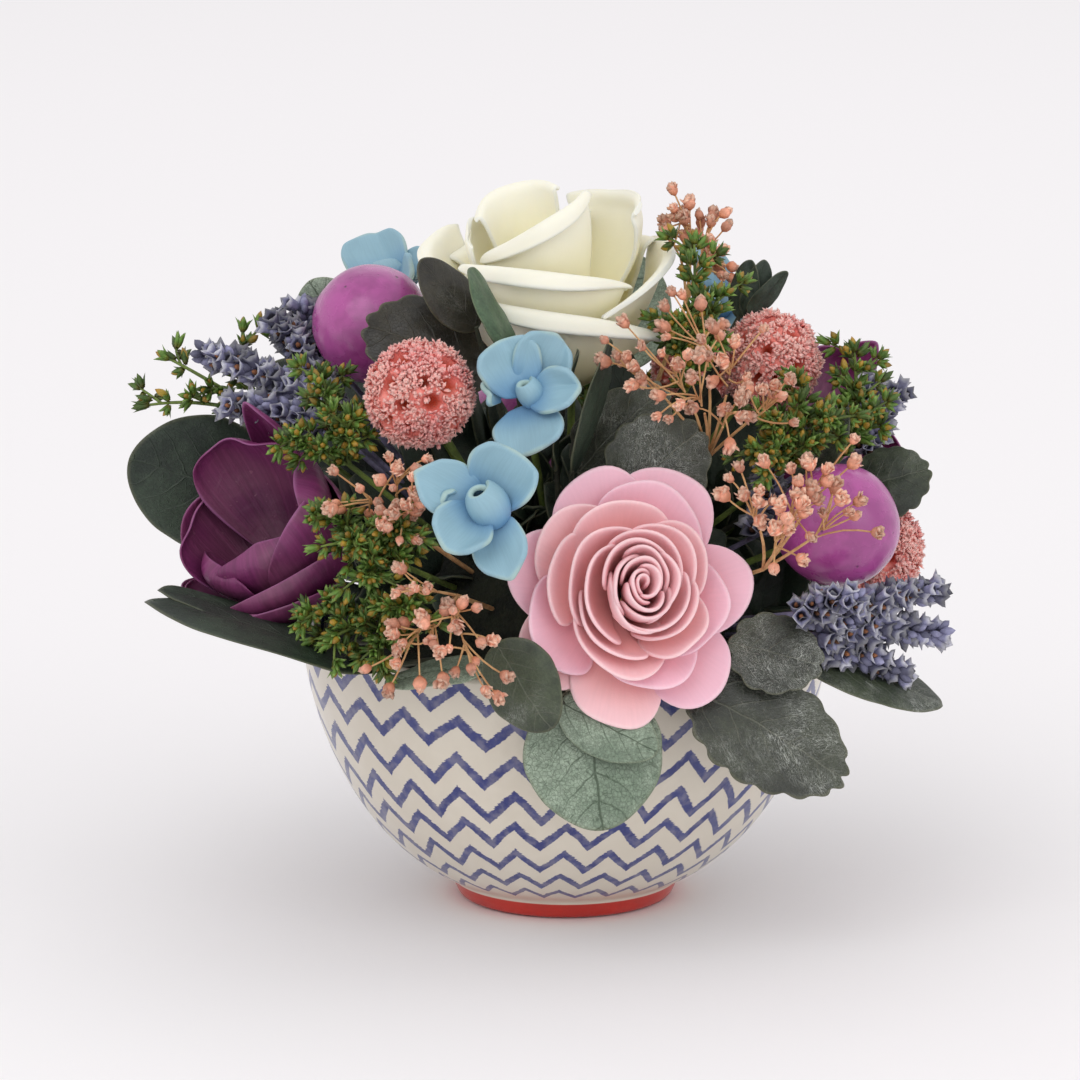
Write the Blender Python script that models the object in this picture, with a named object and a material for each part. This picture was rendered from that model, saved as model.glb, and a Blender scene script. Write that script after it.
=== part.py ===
"""Dried flower arrangement in a glazed bowl.
The code works in millimetres about the bowl's axis and writes metres. +Z is up and -Y is the front."""

import math
import random

import bmesh
import bpy
from mathutils import Vector, noise
from mathutils.bvhtree import BVHTree

# Sizes, in millimetres
RIM_RADIUS = 75.3
BOWL_HEIGHT = 80.0
WALL = 4.0
FOOT_RADIUS = 30.5
HEART = Vector((0.0, 0.0, 75.0))
FOAM_RADIUS = 58.0
FOAM_RISE = 44.0
STEM_START = 31.0
GAP = 0.3
TEST_GAP = 0.28
SHIFT = Vector((9.0, 0.0, 0.0))

COLOURS = {
    "glaze": (0.62, 0.55, 0.47),
    "foam": (0.03, 0.05, 0.025),
    "cream": (0.90, 0.87, 0.74),
    "pink": (0.87, 0.47, 0.50),
    "plum": (0.16, 0.02, 0.11),
    "sky": (0.40, 0.64, 0.78),
    "magenta": (0.45, 0.09, 0.36),
    "coral": (0.80, 0.27, 0.22),
    "lavender": (0.20, 0.19, 0.36),
    "herb": (0.16, 0.23, 0.05),
    "peach": (0.78, 0.44, 0.34),
    "leaf": (0.07, 0.09, 0.07),
    "pale_leaf": (0.24, 0.32, 0.24),
}

placed = {}


# Basic shells: each is a closed pair (vertices, faces)
def lathe(profile, segments, centre, axis=(0, 0, 1)):
    """Turns (radius, height) points round an axis. The first and the last point lie on it."""
    up = Vector(axis).normalized()
    side = up.orthogonal().normalized()
    other = up.cross(side)
    centre = Vector(centre)
    verts = [centre + up * profile[0][1]]
    for radius, height in profile[1:-1]:
        for k in range(segments):
            a = 2 * math.pi * k / segments
            verts.append(centre + up * height + (side * math.cos(a) + other * math.sin(a)) * radius)
    verts.append(centre + up * profile[-1][1])
    faces = []
    rings = len(profile) - 2
    for k in range(segments):
        k2 = (k + 1) % segments
        faces.append((0, 1 + k2, 1 + k))
        for ring in range(rings - 1):
            a = 1 + ring * segments
            b = a + segments
            faces.append((a + k, a + k2, b + k2))
            faces.append((a + k, b + k2, b + k))
        last = 1 + (rings - 1) * segments
        faces.append((last + k, last + k2, len(verts) - 1))
    return verts, faces


def tube(path, radii, sides):
    """A stem along a path, with flat ends."""
    verts = []
    side = None
    for i, p in enumerate(path):
        ahead = path[min(i + 1, len(path) - 1)] - path[max(i - 1, 0)]
        ahead.normalize()
        if side is None:
            side = ahead.orthogonal().normalized()
        side = (side - ahead * side.dot(ahead)).normalized()
        other = ahead.cross(side)
        for k in range(sides):
            a = 2 * math.pi * k / sides
            verts.append(p + (side * math.cos(a) + other * math.sin(a)) * radii[i])
    faces = [tuple(range(sides - 1, -1, -1))]
    for i in range(len(path) - 1):
        a = i * sides
        b = a + sides
        for k in range(sides):
            k2 = (k + 1) % sides
            faces.append((a + k, a + k2, b + k2))
            faces.append((a + k, b + k2, b + k))
    last = (len(path) - 1) * sides
    faces.append(tuple(range(last, last + sides)))
    return verts, faces


def sheet(point, rows, cols, thick):
    """A blade of even thickness over point(u, v), with u from 0 to 1 and v from -1 to 1."""
    top = []
    low = []
    step = 0.02
    for i in range(rows):
        u = rows_at(i, rows)
        for j in range(cols):
            v = -1 + 2 * j / (cols - 1)
            u0 = min(max(u, step), 1 - step)
            along = point(u0 + step, v) - point(u0 - step, v)
            across = point(u0, v + step) - point(u0, v - step)
            n = along.cross(across).normalized() * thick / 2
            p = point(u, v)
            top.append(p + n)
            low.append(p - n)
    count = len(top)
    faces = []
    for i in range(rows - 1):
        for j in range(cols - 1):
            a = i * cols + j
            b = a + 1
            c = a + cols + 1
            d = a + cols
            faces.append((a, d, c))
            faces.append((a, c, b))
            faces.append((count + a, count + c, count + d))
            faces.append((count + a, count + b, count + c))
    edge = [j for j in range(cols)]
    edge += [i * cols + cols - 1 for i in range(1, rows)]
    edge += [(rows - 1) * cols + j for j in range(cols - 2, -1, -1)]
    edge += [i * cols for i in range(rows - 2, 0, -1)]
    for k, a in enumerate(edge):
        b = edge[(k + 1) % len(edge)]
        faces.append((a, b, count + b))
        faces.append((a, count + b, count + a))
    return top + low, faces


def rows_at(i, rows):
    """Rows lie closer together towards both ends, so that rounded tips stay round."""
    even = i / (rows - 1)
    eased = (1 - math.cos(math.pi * even)) / 2
    return 0.45 * even + 0.55 * eased


def outward(verts, faces):
    """The same shell with its faces turned to point out."""
    volume = 0.0
    for face in faces:
        for k in range(1, len(face) - 1):
            volume += verts[face[0]].dot(verts[face[k]].cross(verts[face[k + 1]]))
    if volume < 0:
        return verts, [tuple(reversed(face)) for face in faces]
    return verts, faces


# Room among the solids that are already placed
def box_of(verts):
    low = [min(v[k] for v in verts) for k in range(3)]
    high = [max(v[k] for v in verts) for k in range(3)]
    return low, high


def is_inside(tree, p):
    """Whether a point lies within a closed tree, by counting the faces above it."""
    hits = 0
    origin = p.copy()
    for _ in range(40):
        found = tree.ray_cast(origin, Vector((0.013, 0.007, 1.0)))
        if found[0] is None:
            break
        hits += 1
        origin = found[0] + Vector((0.0, 0.0, 0.001))
    return hits % 2 == 1


def is_clear(verts, faces, skip=()):
    """Whether a shell keeps its distance from everything placed."""
    low, high = box_of(verts)
    tree = None
    for name, (other_low, other_high, other_tree, other_verts) in placed.items():
        if name in skip:
            continue
        if any(low[k] - GAP > other_high[k] or high[k] + GAP < other_low[k] for k in range(3)):
            continue
        if tree is None:
            tree = BVHTree.FromPolygons(verts, faces)
        if tree.overlap(other_tree):
            return False
        if any(other_tree.find_nearest(v, TEST_GAP)[0] is not None for v in verts):
            return False
        if is_inside(other_tree, verts[0]):
            return False
        for v in other_verts:
            if all(low[k] - GAP < v[k] < high[k] + GAP for k in range(3)):
                if tree.find_nearest(v, TEST_GAP)[0] is not None:
                    return False
    return True


def remember(name, verts, faces):
    low, high = box_of(verts)
    placed[name] = (low, high, BVHTree.FromPolygons(verts, faces), verts)


# Objects
def new_mesh(name, verts, faces):
    verts, faces = outward(verts, faces)
    mesh = bpy.data.meshes.new(name)
    mesh.from_pydata([(v + SHIFT) * 0.001 for v in verts], [], faces)
    mesh.update()
    obj = bpy.data.objects.new(name, mesh)
    return obj


def own_material(obj, colour):
    made = bpy.data.materials.new(obj.name + "_colour")
    made.use_nodes = True
    shader = made.node_tree.nodes["Principled BSDF"]
    shader.inputs["Base Color"].default_value = (*COLOURS[colour], 1)
    shader.inputs["Roughness"].default_value = 0.25 if colour == "glaze" else 0.7
    obj.data.materials.clear()
    obj.data.materials.append(made)


def join(name, shells, colour, operation="UNION", cutters=()):
    """One node out of several shells, and its tree kept for the tests that follow."""
    helpers = bpy.data.collections.new(name + "_helpers")
    bpy.context.scene.collection.children.link(helpers)
    main = new_mesh(name, *shells[0])
    bpy.context.scene.collection.objects.link(main)
    others = list(shells[1:]) if operation == "UNION" else list(cutters)
    for k, shell in enumerate(others):
        helpers.objects.link(new_mesh(f"{name}_{k}", *shell))
    if others:
        boolean = main.modifiers.new("join", "BOOLEAN")
        boolean.operation = operation
        boolean.operand_type = "COLLECTION"
        boolean.collection = helpers
        boolean.solver = "MANIFOLD"
        graph = bpy.context.evaluated_depsgraph_get()
        made = bpy.data.meshes.new_from_object(main.evaluated_get(graph))
        main.modifiers.clear()
        main.data = made
        made.name = name
    tidy = bmesh.new()
    tidy.from_mesh(main.data)
    bmesh.ops.triangulate(tidy, faces=tidy.faces[:])
    bmesh.ops.dissolve_degenerate(tidy, dist=2e-6, edges=tidy.edges[:])
    bmesh.ops.triangulate(tidy, faces=tidy.faces[:])
    tidy.to_mesh(main.data)
    tidy.free()
    for helper in list(helpers.objects):
        bpy.data.objects.remove(helper)
    bpy.data.collections.remove(helpers)
    own_material(main, colour)
    verts = [v.co * 1000 - SHIFT for v in main.data.vertices]
    faces = [tuple(p.vertices) for p in main.data.polygons]
    remember(name, verts, faces)
    return main


# Directions and stems
def radial(azimuth, elevation):
    a = math.radians(azimuth)
    e = math.radians(elevation)
    return Vector((math.cos(e) * math.sin(a), -math.cos(e) * math.cos(a), math.sin(e)))


def foam_reach(d):
    """How far the foam's dome lies from the heart in a direction."""
    flat = math.hypot(d.x, d.y)
    return 1 / math.sqrt((flat / FOAM_RADIUS) ** 2 + (max(d.z, 0) / FOAM_RISE) ** 2)


holes = []


def stem_to(base, radius=1.1, lean=(0.0, 0.0)):
    """A stem from the heart through the foam to a base point. The part in the foam is straight."""
    base = Vector(base)
    d = (base - HEART).normalized()
    azimuth = math.degrees(math.atan2(d.x, -d.y)) + lean[0]
    elevation = math.degrees(math.asin(d.z)) + lean[1]
    d = radial(azimuth, max(elevation, 9.0))
    start = HEART + d * STEM_START
    leave = HEART + d * (foam_reach(d) + 5.0)
    path = [start, leave]
    outside = math.hypot(base.x, base.y)
    if base.z < 88.0 and outside > 77.0:
        over = base * (76.4 / outside)
        path.append(Vector((over.x, over.y, BOWL_HEIGHT + 1.3 + radius)))
    elif (base - leave).length > 14.0:
        path.append((leave + base) / 2 + d * 1.5)
    path.append(base)
    return path, tube(path, [radius] * len(path), 4)


def cut_hole(path, radius=1.1):
    """A plain hole in the foam for the straight part of a stem."""
    d = (path[1] - path[0]).normalized()
    wide = (radius + GAP + 0.05) / math.cos(math.pi / 4)
    holes.append(tube([path[0] - d * 0.6, path[1] + d * 12.0], [wide, wide], 4))


def on_stem(path, back):
    """The point on the last stretch of a stem that lies this far back from its end."""
    reach = (path[-1] - path[-2]).length
    return path[-1].lerp(path[-2], min((back + 0.6) / reach, 0.85))


LEANS = [(0, 0), (5, 0), (-5, 0), (0, 5), (0, -5), (8, 5), (-8, 5), (8, -5), (-8, -5), (12, 0), (-12, 0),
         (0, 11), (0, -11), (16, 6), (-16, 6), (22, 0), (-22, 0), (0, 20), (0, -18), (30, 0), (-30, 0),
         (22, 16), (-22, 16), (22, -14), (-22, -14)]


def clear_stem(base, radius=1.1):
    """The first lean of a stem that meets nothing."""
    for lean in LEANS:
        path, shell = stem_to(base, radius=radius, lean=lean)
        if is_clear(*shell, skip=("foam_dome",)):
            return path, shell
    return None, None


# Petals
class Frame:
    """A bloom's centre, its axis and the direction that counts as angle 0."""

    def __init__(self, centre, axis, towards):
        self.centre = Vector(centre)
        self.axis = Vector(axis).normalized()
        towards = Vector(towards)
        self.x = (towards - self.axis * towards.dot(self.axis)).normalized()
        self.y = self.axis.cross(self.x)

    def at(self, angle, radius, height):
        out = self.x * math.cos(angle) + self.y * math.sin(angle)
        return self.centre + out * radius + self.axis * height


def smooth(values, u):
    """A smooth curve through evenly spaced values."""
    u = min(max(u, 0.0), 1.0) * (len(values) - 1)
    i = min(int(u), len(values) - 2)
    t = u - i
    before = values[i - 1] if i else 2 * values[0] - values[1]
    after = values[i + 2] if i + 2 < len(values) else 2 * values[-1] - values[-2]
    a = values[i]
    b = values[i + 1]
    return 0.5 * (2 * a + (b - before) * t + (2 * before - 5 * a + 4 * b - after) * t * t
                  + (3 * a - before - 3 * b + after) * t ** 3)


def petal(frame, angle, half, radii, heights, drop=0.22, spiral=0.0, wave=0.0, point=0.0):
    """The middle surface of a petal that wraps round a bloom's axis."""
    centre = math.radians(angle)
    half = math.radians(half)

    def place(u, v):
        spread = 0.45 + 0.55 * math.sin(min(u * 1.5, 1.0) * math.pi / 2)
        a = centre + half * v * spread
        top = u * (1 - drop * abs(v) ** 2.4 * u)
        radius = smooth(radii, top) + spiral * v * u + wave * math.sin(3.1 * v + angle) * u
        height = smooth(heights, top) + point * max(0.0, 1 - abs(v) * 2.2) * u ** 3
        return frame.at(a, max(radius, 0.8), height)

    return place


def ring_of_petals(frame, count, turn, half, radii, heights, seed, **more):
    """Evenly spread petals, each a little different."""
    rng = random.Random(seed)
    shapes = []
    for k in range(count):
        angle = turn + 360 * k / count + rng.uniform(-2, 2)
        size = rng.uniform(0.99, 1.01)
        sized_radii = [r * size for r in radii]
        sized_heights = [h * size for h in heights]
        shapes.append(petal(frame, angle, half, sized_radii, sized_heights, **more))
    return shapes


# The bowl and the foam
def outer_radius(z):
    return RIM_RADIUS * (1 - (1 - z / BOWL_HEIGHT) ** 1.7) ** 0.385


def make_bowl():
    profile = [(0, 1.6), (25.0, 1.6), (26.4, 0.0), (29.7, 0.0), (FOOT_RADIUS + 0.2, 0.8), (32.2, 4.5)]
    for z in (6.2, 11, 20, 36, 58):
        profile.append((outer_radius(z), z))
    profile += [(RIM_RADIUS - 0.2, 79.2), (RIM_RADIUS - 1.4, BOWL_HEIGHT + 0.2), (RIM_RADIUS - 3.4, 79.6)]
    for z in (64, 34, 13):
        profile.append((outer_radius(z) - WALL - 1.2 * (1 - z / 80), z))
    profile += [(18.0, 6.4), (0, 5.8)]
    join("bowl", [lathe(profile, 40, (0, 0, 0))], "glaze")


def foam_profile():
    profile = [(0, 6.5), (17.0, 7.2)]
    for z in (14.0, 34.0, 66.0):
        profile.append((outer_radius(z) - WALL - 1.2 * (1 - z / 80) - 2.2, z))
    profile += [(66.5, 80.5)]
    for angle in (14, 48):
        a = math.radians(angle)
        profile.append((FOAM_RADIUS * math.cos(a), 75.0 + FOAM_RISE * math.sin(a)))
    profile.append((0, 75.0 + FOAM_RISE))
    return profile


def remember_dome():
    verts, faces = lathe(foam_profile(), 18, (0, 0, 0))
    remember("foam_dome", verts, faces)


def make_foam():
    body = lathe(foam_profile(), 18, (0, 0, 0))
    join("floral_foam", [body], "foam", "DIFFERENCE", holes)


# Blooms
def finish_head(name, shells, base, colour):
    """Adds the stem of a head and joins the whole."""
    path, stem = clear_stem(base)
    cut_hole(path)
    join(name, list(shells) + [stem], colour)


WHITE_BASE = Vector((1.0, -2.0, 151.0))
WHITE_AXIS = Vector((-0.24, -0.06, 0.97))
WHITE_PETALS = [
    (165, 95, (3, 9, 11, 10, 10.5), (12, 26, 40, 50, 55), 2),
    (-35, 100, (3, 10, 12, 12, 14), (10, 20, 32, 42, 46), 2),
    (55, 78, (5, 14, 19, 21, 27), (6, 18, 33, 47, 49), 2),
    (-95, 66, (5, 15, 20, 22, 27), (5, 16, 28, 38, 39), 2),
    (178, 80, (5, 15, 21, 25, 31), (4, 18, 32, 43, 44), 2),
    (-2, 62, (6, 20, 28, 31, 35), (-1, 8, 19, 28, 27), 1.5),
    (86, 52, (6, 20, 29, 34, 39), (0, 10, 22, 33, 33), 1.5),
    (-80, 46, (6, 18, 25, 29, 31), (0, 13, 27, 39, 42), 1.5),
    (-170, 56, (6, 20, 28, 34, 39), (0, 9, 19, 28, 27), 1.5),
    (20, 60, (6, 19, 29, 33, 36), (-3, 1, 9, 17, 16), 1.5),
]


def make_white_rose():
    frame = Frame(WHITE_BASE, WHITE_AXIS, (0, -1, 0))
    core = lathe([(0, -5), (14, 1), (13, 14), (0, 34)], 7, WHITE_BASE, WHITE_AXIS)
    shells = [core]
    for angle, half, radii, heights, spiral in WHITE_PETALS:
        shape = petal(frame, angle, half, radii, heights, spiral=spiral)
        shells.append(sheet(shape, 4, 5 if half > 75 else 4, 1.3))
    finish_head("white_rose", shells, WHITE_BASE - WHITE_AXIS * 3, "cream")


PINK_BASE = Vector((15.5, -69.0, 102.0))
PINK_AXIS = radial(12, 22)
PINK_RINGS = [
    (2, 20, 86, (1.5, 3, 4.2), (8, 21, 31), 1.2),
    (3, 70, 56, (3, 7, 10.5), (8, 20, 29), 1.8),
    (4, 10, 43, (5, 13, 18), (5, 16, 25), 2.2),
    (5, 45, 35, (6, 19, 26.5), (2, 12, 18), 2.4),
    (8, 20, 24, (7, 24, 37.5), (-2, 4, 7), 2.2),
]


def make_pink_rose():
    frame = Frame(PINK_BASE, PINK_AXIS, (0, 0, 1))
    core = lathe([(0, -5), (12.5, -1), (0, 20)], 7, PINK_BASE, PINK_AXIS)
    shells = [core]
    for k, (count, turn, half, radii, heights, spiral) in enumerate(PINK_RINGS):
        shapes = ring_of_petals(frame, count, turn, half, radii, heights, 40 + k, spiral=spiral, drop=0.2)
        for shape in shapes:
            shells.append(sheet(shape, 3, 4, 0.9))
    finish_head("pink_rose", shells, PINK_BASE - PINK_AXIS * 3, "pink")


PLUM_PETALS = [
    (180, 62, (2, 13, 20, 20, 16), (2, 12, 28, 42, 50), 0, 4),
    (60, 55, (2, 12, 18, 19, 15), (2, 12, 26, 38, 45), 1, 0),
    (-60, 55, (2, 12, 19, 19, 14), (2, 12, 25, 36, 42), 1, 0),
    (-4, 58, (4, 17, 24, 26, 24), (-1, 5, 14, 23, 28), 1, 0),
    (118, 50, (3, 15, 22, 24, 22), (0, 8, 20, 32, 40), 1, 0),
    (-112, 50, (3, 15, 22, 24, 22), (0, 8, 20, 32, 38), 1, 0),
]
PLUM_BLOOMS = [
    ("purple_bloom_left", (-70.0, -20.0, 91.0), (-0.36, -0.28, 0.80), (-0.35, -0.9, -0.2), 1.0),
    ("purple_bloom_right", (58.0, 30.0, 106.0), (0.55, 0.08, 0.83), (0.6, -0.8, 0.0), 0.92),
]


def make_plum_blooms():
    for name, base, axis, towards, size in PLUM_BLOOMS:
        base = Vector(base)
        frame = Frame(base, axis, towards)
        axis = frame.axis
        core = lathe([(0, -4), (10 * size, 2), (0, 11)], 7, base, axis)
        shells = [core]
        for angle, half, radii, heights, spiral, point in PLUM_PETALS:
            shape = petal(frame, angle, half, [r * size for r in radii], [h * size for h in heights],
                          drop=0.3, spiral=spiral, point=point)
            shells.append(sheet(shape, 4, 4, 0.9))
        finish_head(name, shells, base - axis * 2.5, "plum")


BLUE_BLOOMS = [
    ("blue_bloom_upper", (-11.4, -60.0, 157.0), (-0.05, -0.86, 0.5),
     ((118, 17, 16), (60, 18, 15), (-6, 16, 15), (-82, 19, 17), (192, 12, 12))),
    ("blue_bloom_lower", (-22.5, -95.0, 134.0), (-0.1, -0.9, 0.42),
     ((163, 20, 16), (42, 19, 18), (236, 20, 16), (-62, 21, 15), (100, 15, 14))),
    ("blue_bloom_back_left", (-50.0, 26.0, 171.0), (-0.45, -0.3, 0.8),
     ((150, 20, 18), (75, 15, 15), (15, 12, 13), (225, 15, 15))),
    ("blue_bloom_back_right", (44.0, 22.0, 165.0), (0.55, 0.1, 0.8),
     ((90, 18, 15), (20, 16, 15), (160, 14, 14), (250, 14, 14))),
]


def flat_petal(base, out, normal, length, width, cup, lift, tip=0.12):
    """A thick carved petal that leaves the centre of a bloom."""
    side = out.cross(normal).normalized()

    def place(u, v):
        wide = width / 2 * (0.22 + 0.78 * math.sin(math.pi * min(u * 0.9 + 0.06, 1.0)) ** 0.8)
        wide *= 1 - 0.55 * max(0.0, u - 0.75) * 4 * 0.6
        reach = length * (u - tip * abs(v) * u ** 3)
        rise = lift * math.sin(u * math.pi * 0.55) + cup * v * v * wide
        return base + out * reach + side * wide * v + normal * rise

    return place


def make_blue_blooms():
    for name, centre, facing, petals in BLUE_BLOOMS:
        frame = Frame(centre, facing, (0, 0, 1))
        centre = frame.centre
        right = -frame.y
        up = frame.x
        face = frame.axis
        shells = [lathe([(0, -8), (5, -3), (4, 1), (0, 3)], 6, centre, face)]
        for k, (angle, length, width) in enumerate(petals):
            a = math.radians(angle)
            out = right * math.cos(a) + up * math.sin(a)
            level = 1.9 * (k % 2) + (3.8 if k == 4 else 0)
            shape = flat_petal(centre + out * 3 - face * level, (out + face * 0.12).normalized(), face,
                               length - 1.5, width, 0.16, 2.2)
            shells.append(sheet(shape, 4, 4, 1.5))
        shells.append(tube([centre + face * 1, centre + face * 6 + up], [2.5, 1.8], 5))
        finish_head(name, shells, centre - face * 5, "sky")


# Balls
SMOOTH_BALLS = [
    ("magenta_ball_left", (-54.6, -4.0, 166.5), 16.8),
    ("magenta_ball_right", (75.3, -46.0, 117.7), 17.2),
    ("magenta_ball_back", (-14.0, 82.0, 118.0), 16.8),
]
PITTED_BALLS = [
    ("coral_ball_left", (-40.5, -53.0, 156.5), 15.6),
    ("coral_ball_top_right", (57.5, -10.0, 157.0), 14.6),
    ("coral_ball_right", (91.0, -12.0, 102.5), 14.6),
    ("coral_ball_back", (40.0, 62.0, 140.0), 15.4),
]


def make_smooth_balls():
    for k, (name, centre, radius) in enumerate(SMOOTH_BALLS):
        centre = Vector(centre)
        out = (centre - HEART).normalized()
        profile = []
        for i in range(8):
            a = math.pi * i / 7
            profile.append((radius * math.sin(a), -radius * math.cos(a)))
        profile[0] = (0, -radius)
        profile[-1] = (0, radius)
        verts, faces = lathe(profile, 12, centre, out)
        off = Vector((k * 7, 0, 0))
        verts = [centre + (v - centre) * (1 + 0.03 * noise.noise(v * 0.06 + off)) for v in verts]
        finish_head(name, [(verts, faces)], centre - out * (radius - 2), "magenta")


def make_pitted_balls():
    for k, (name, centre, radius) in enumerate(PITTED_BALLS):
        centre = Vector(centre)
        out = (centre - HEART).normalized()
        ball = bmesh.new()
        bmesh.ops.create_icosphere(ball, subdivisions=3, radius=1.0)
        ball.verts.ensure_lookup_table()
        rng = random.Random(70 + k)
        verts = []
        for v in ball.verts:
            d = v.co.normalized()
            pit = len(v.link_edges) == 5
            scale = 0.72 if pit else rng.uniform(0.96, 1.02)
            verts.append(centre + d * radius * scale)
        faces = [tuple(w.index for w in f.verts) for f in ball.faces]
        ball.free()
        finish_head(name, [(verts, faces)], centre - out * (radius - 4), "coral")


# Leaves
# name, leaves of (base, tip, width, facing, bend, cup), style
LEAVES = [
    ("leaf_far_left", "dark", [((-84, 6, 113), (-124, 0, 127), 38, (-0.1, -1, 0.1), 0.3, 0.12)]),
    ("leaf_low_left", "dark", [((-50, -70, 86), (-114, -45, 97), 34, (0.1, -0.45, 1), 0.35, 0.15),
                               ((-58, -60, 90), (-111, -37, 102), 24, (0.1, -0.3, 1), 0.3, 0.15)]),
    ("leaf_behind_ball", "pale", [((-58, 18, 153), (-73, 15, 175), 24, (-0.4, -1, 0.3), 0.3, 0.1)]),
    ("leaf_scalloped", "scallop", [((-22, -30, 160), (-58, -31, 173), 26, (0.0, -0.6, 0.9), 0.5, 0.15)]),
    ("leaf_dark_top", "dark", [((-22, -22, 164), (-37, -20, 187), 18, (0.5, -0.9, 0.1), 0.3, 0.2)]),
    ("leaf_narrow_green", "pale", [((-15, -42, 166), (-26, -33, 188), 20, (1, -0.35, 0.2), 0.35, 0.2)]),
    ("leaf_edge_pair", "dark", [((1, -56, 134), (12, -47, 171), 22, (1, -0.3, -0.3), 0.4, 0.1),
                                ((-3, -51, 134), (4, -47, 168), 20, (1, -0.1, -0.2), -0.3, 0.1)]),
    ("leaf_behind_rose", "scallop", [((3, -52, 134), (28, -44, 157), 26, (-0.3, -0.8, 0.8), 0.4, 0.12),
                                     ((14, -60, 128), (38, -56, 148), 30, (0.2, -0.8, 0.5), 0.35, 0.12)]),
    ("leaf_top_right", "dark", [((45, 6, 166), (64, 8, 180), 16, (0.3, -1, 0.2), 0.4, 0.15),
                                ((43, 8, 167), (54, 10, 185), 15, (-0.2, -1, 0.1), 0.3, 0.15)]),
    ("leaf_frosted", "pale", [((65, -23, 125), (78, -20, 149), 20, (-0.9, -0.7, 0.3), 0.6, 0.25)]),
    ("leaf_right_dark", "scallop", [((82, -16, 118), (103, -14, 124), 22, (0.1, -0.8, 0.7), 0.4, 0.15)]),
    ("leaf_right_middle", "dark", [((45, -77, 92), (72, -76, 85), 23, (0.2, -1, 0.45), 0.35, 0.12)]),
    ("leaf_big_scalloped", "scallop", [((35, -88, 82), (79, -84, 54), 33, (0.35, -1, 0.4), 0.5, 0.12)]),
    ("leaf_right_pointing", "dark", [((64, -58, 84), (105, -48, 67), 22, (0.2, -0.5, 1), 0.35, 0.15)]),
    ("leaf_front_left", "pale", [((-19, -85, 94), (-4, -95, 72), 22, (-0.4, -1, 0.1), 0.4, 0.2)]),
    ("leaf_front_hanging", "pale", [((5, -78.5, 80), (10, -90, 42), 38, (0.0, -1, 0.2), 0.3, 0.12)]),
    ("leaf_front_small", "pale", [((-3, -84, 77), (25, -89, 63), 18, (0.1, -1, 0.2), 0.25, 0.1)]),
    ("leaf_on_rim", "pale", [((-22, -80, 87), (-49, -78, 80), 14, (-0.1, -0.7, 0.8), 0.5, 0.15)]),
    ("leaf_back_left", "dark", [((-62, 50, 106), (-96, 68, 120), 36, (-0.4, 0.9, 0.3), 0.35, 0.12),
                                ((-50, 60, 112), (-68, 84, 136), 30, (-0.5, 0.9, 0.2), 0.35, 0.12),
                                ((-64, 48, 92), (-88, 72, 84), 30, (-0.3, 0.5, 0.9), 0.4, 0.12)]),
    ("leaf_back_low", "scallop", [((-8, 84, 86), (-12, 100, 60), 34, (0, 1, 0.5), 0.4, 0.12),
                                  ((14, 82, 88), (26, 98, 66), 30, (0.2, 1, 0.5), 0.4, 0.12),
                                  ((-30, 76, 90), (-44, 92, 70), 28, (-0.3, 1, 0.5), 0.4, 0.12)]),
    ("leaf_back_right", "dark", [((60, 60, 98), (86, 80, 88), 34, (0.5, 0.6, 0.9), 0.4, 0.12),
                                 ((48, 64, 100), (62, 92, 112), 30, (0.3, 0.8, 0.6), 0.35, 0.12),
                                 ((44, 72, 90), (54, 94, 74), 28, (0.4, 1, 0.5), 0.4, 0.12)]),
    ("leaf_back_upper", "pale", [((12, 48, 142), (22, 60, 174), 28, (0.2, 0.9, 0.3), 0.35, 0.12),
                                 ((-10, 52, 140), (-20, 66, 170), 28, (-0.3, 0.9, 0.3), 0.35, 0.12)]),
    ("leaf_right_side", "dark", [((74, 28, 92), (104, 38, 82), 30, (0.5, 0.1, 1), 0.4, 0.12),
                                 ((70, 40, 98), (92, 60, 104), 26, (0.3, 0.8, 0.5), 0.4, 0.12)]),
    ("leaf_left_side", "dark", [((-74, 28, 92), (-108, 40, 90), 30, (-0.3, 0.2, 1), 0.4, 0.12),
                                ((-60, 34, 118), (-88, 46, 140), 30, (-0.4, 0.9, 0.4), 0.4, 0.12)]),
]


def leaf_shape(base, tip, width, facing, bend, cup, scallop=False, rows=8):
    """The middle surface of a leaf: an arc from base to tip that is widest below its middle."""
    t = tip - base
    length = t.length
    t = t.normalized()
    n = Vector(facing)
    n = (n - t * n.dot(t)).normalized()
    side = t.cross(n)

    def place(u, v):
        a = bend * (u - 0.5)
        along = length / 2 + length * math.sin(a) / (2 * math.sin(bend / 2))
        rise = length * (math.cos(a) - math.cos(bend / 2)) / (2 * math.sin(abs(bend) / 2))
        wide = max(math.sin(math.pi * min(max(u, 0.0), 1.0) ** 0.8), 0.0) ** 0.62
        wide = width / 2 * max(wide, 0.13)
        if scallop:
            near = min(range(rows), key=lambda k: abs(rows_at(k, rows) - u))
            wide *= 0.88 if near % 2 else 1.0
        curl = cup * wide * v * v * 0.7 + 0.05 * width * math.sin(5 * u + 2 * v) * abs(v)
        return base + t * along + n * (rise * (1 if bend > 0 else -1) - curl) + side * wide * v

    return place


def leaf_moves():
    """The moves that a leafy stem tries, from the smallest on: depth, size and lift."""
    for size in (1.0, 0.93, 0.86, 0.78):
        for depth in (0, -3, 3, -6, 6, -9, 9, -13, 13, -17, 17):
            for lift in (0, 3, -3):
                yield size, depth, lift


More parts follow.
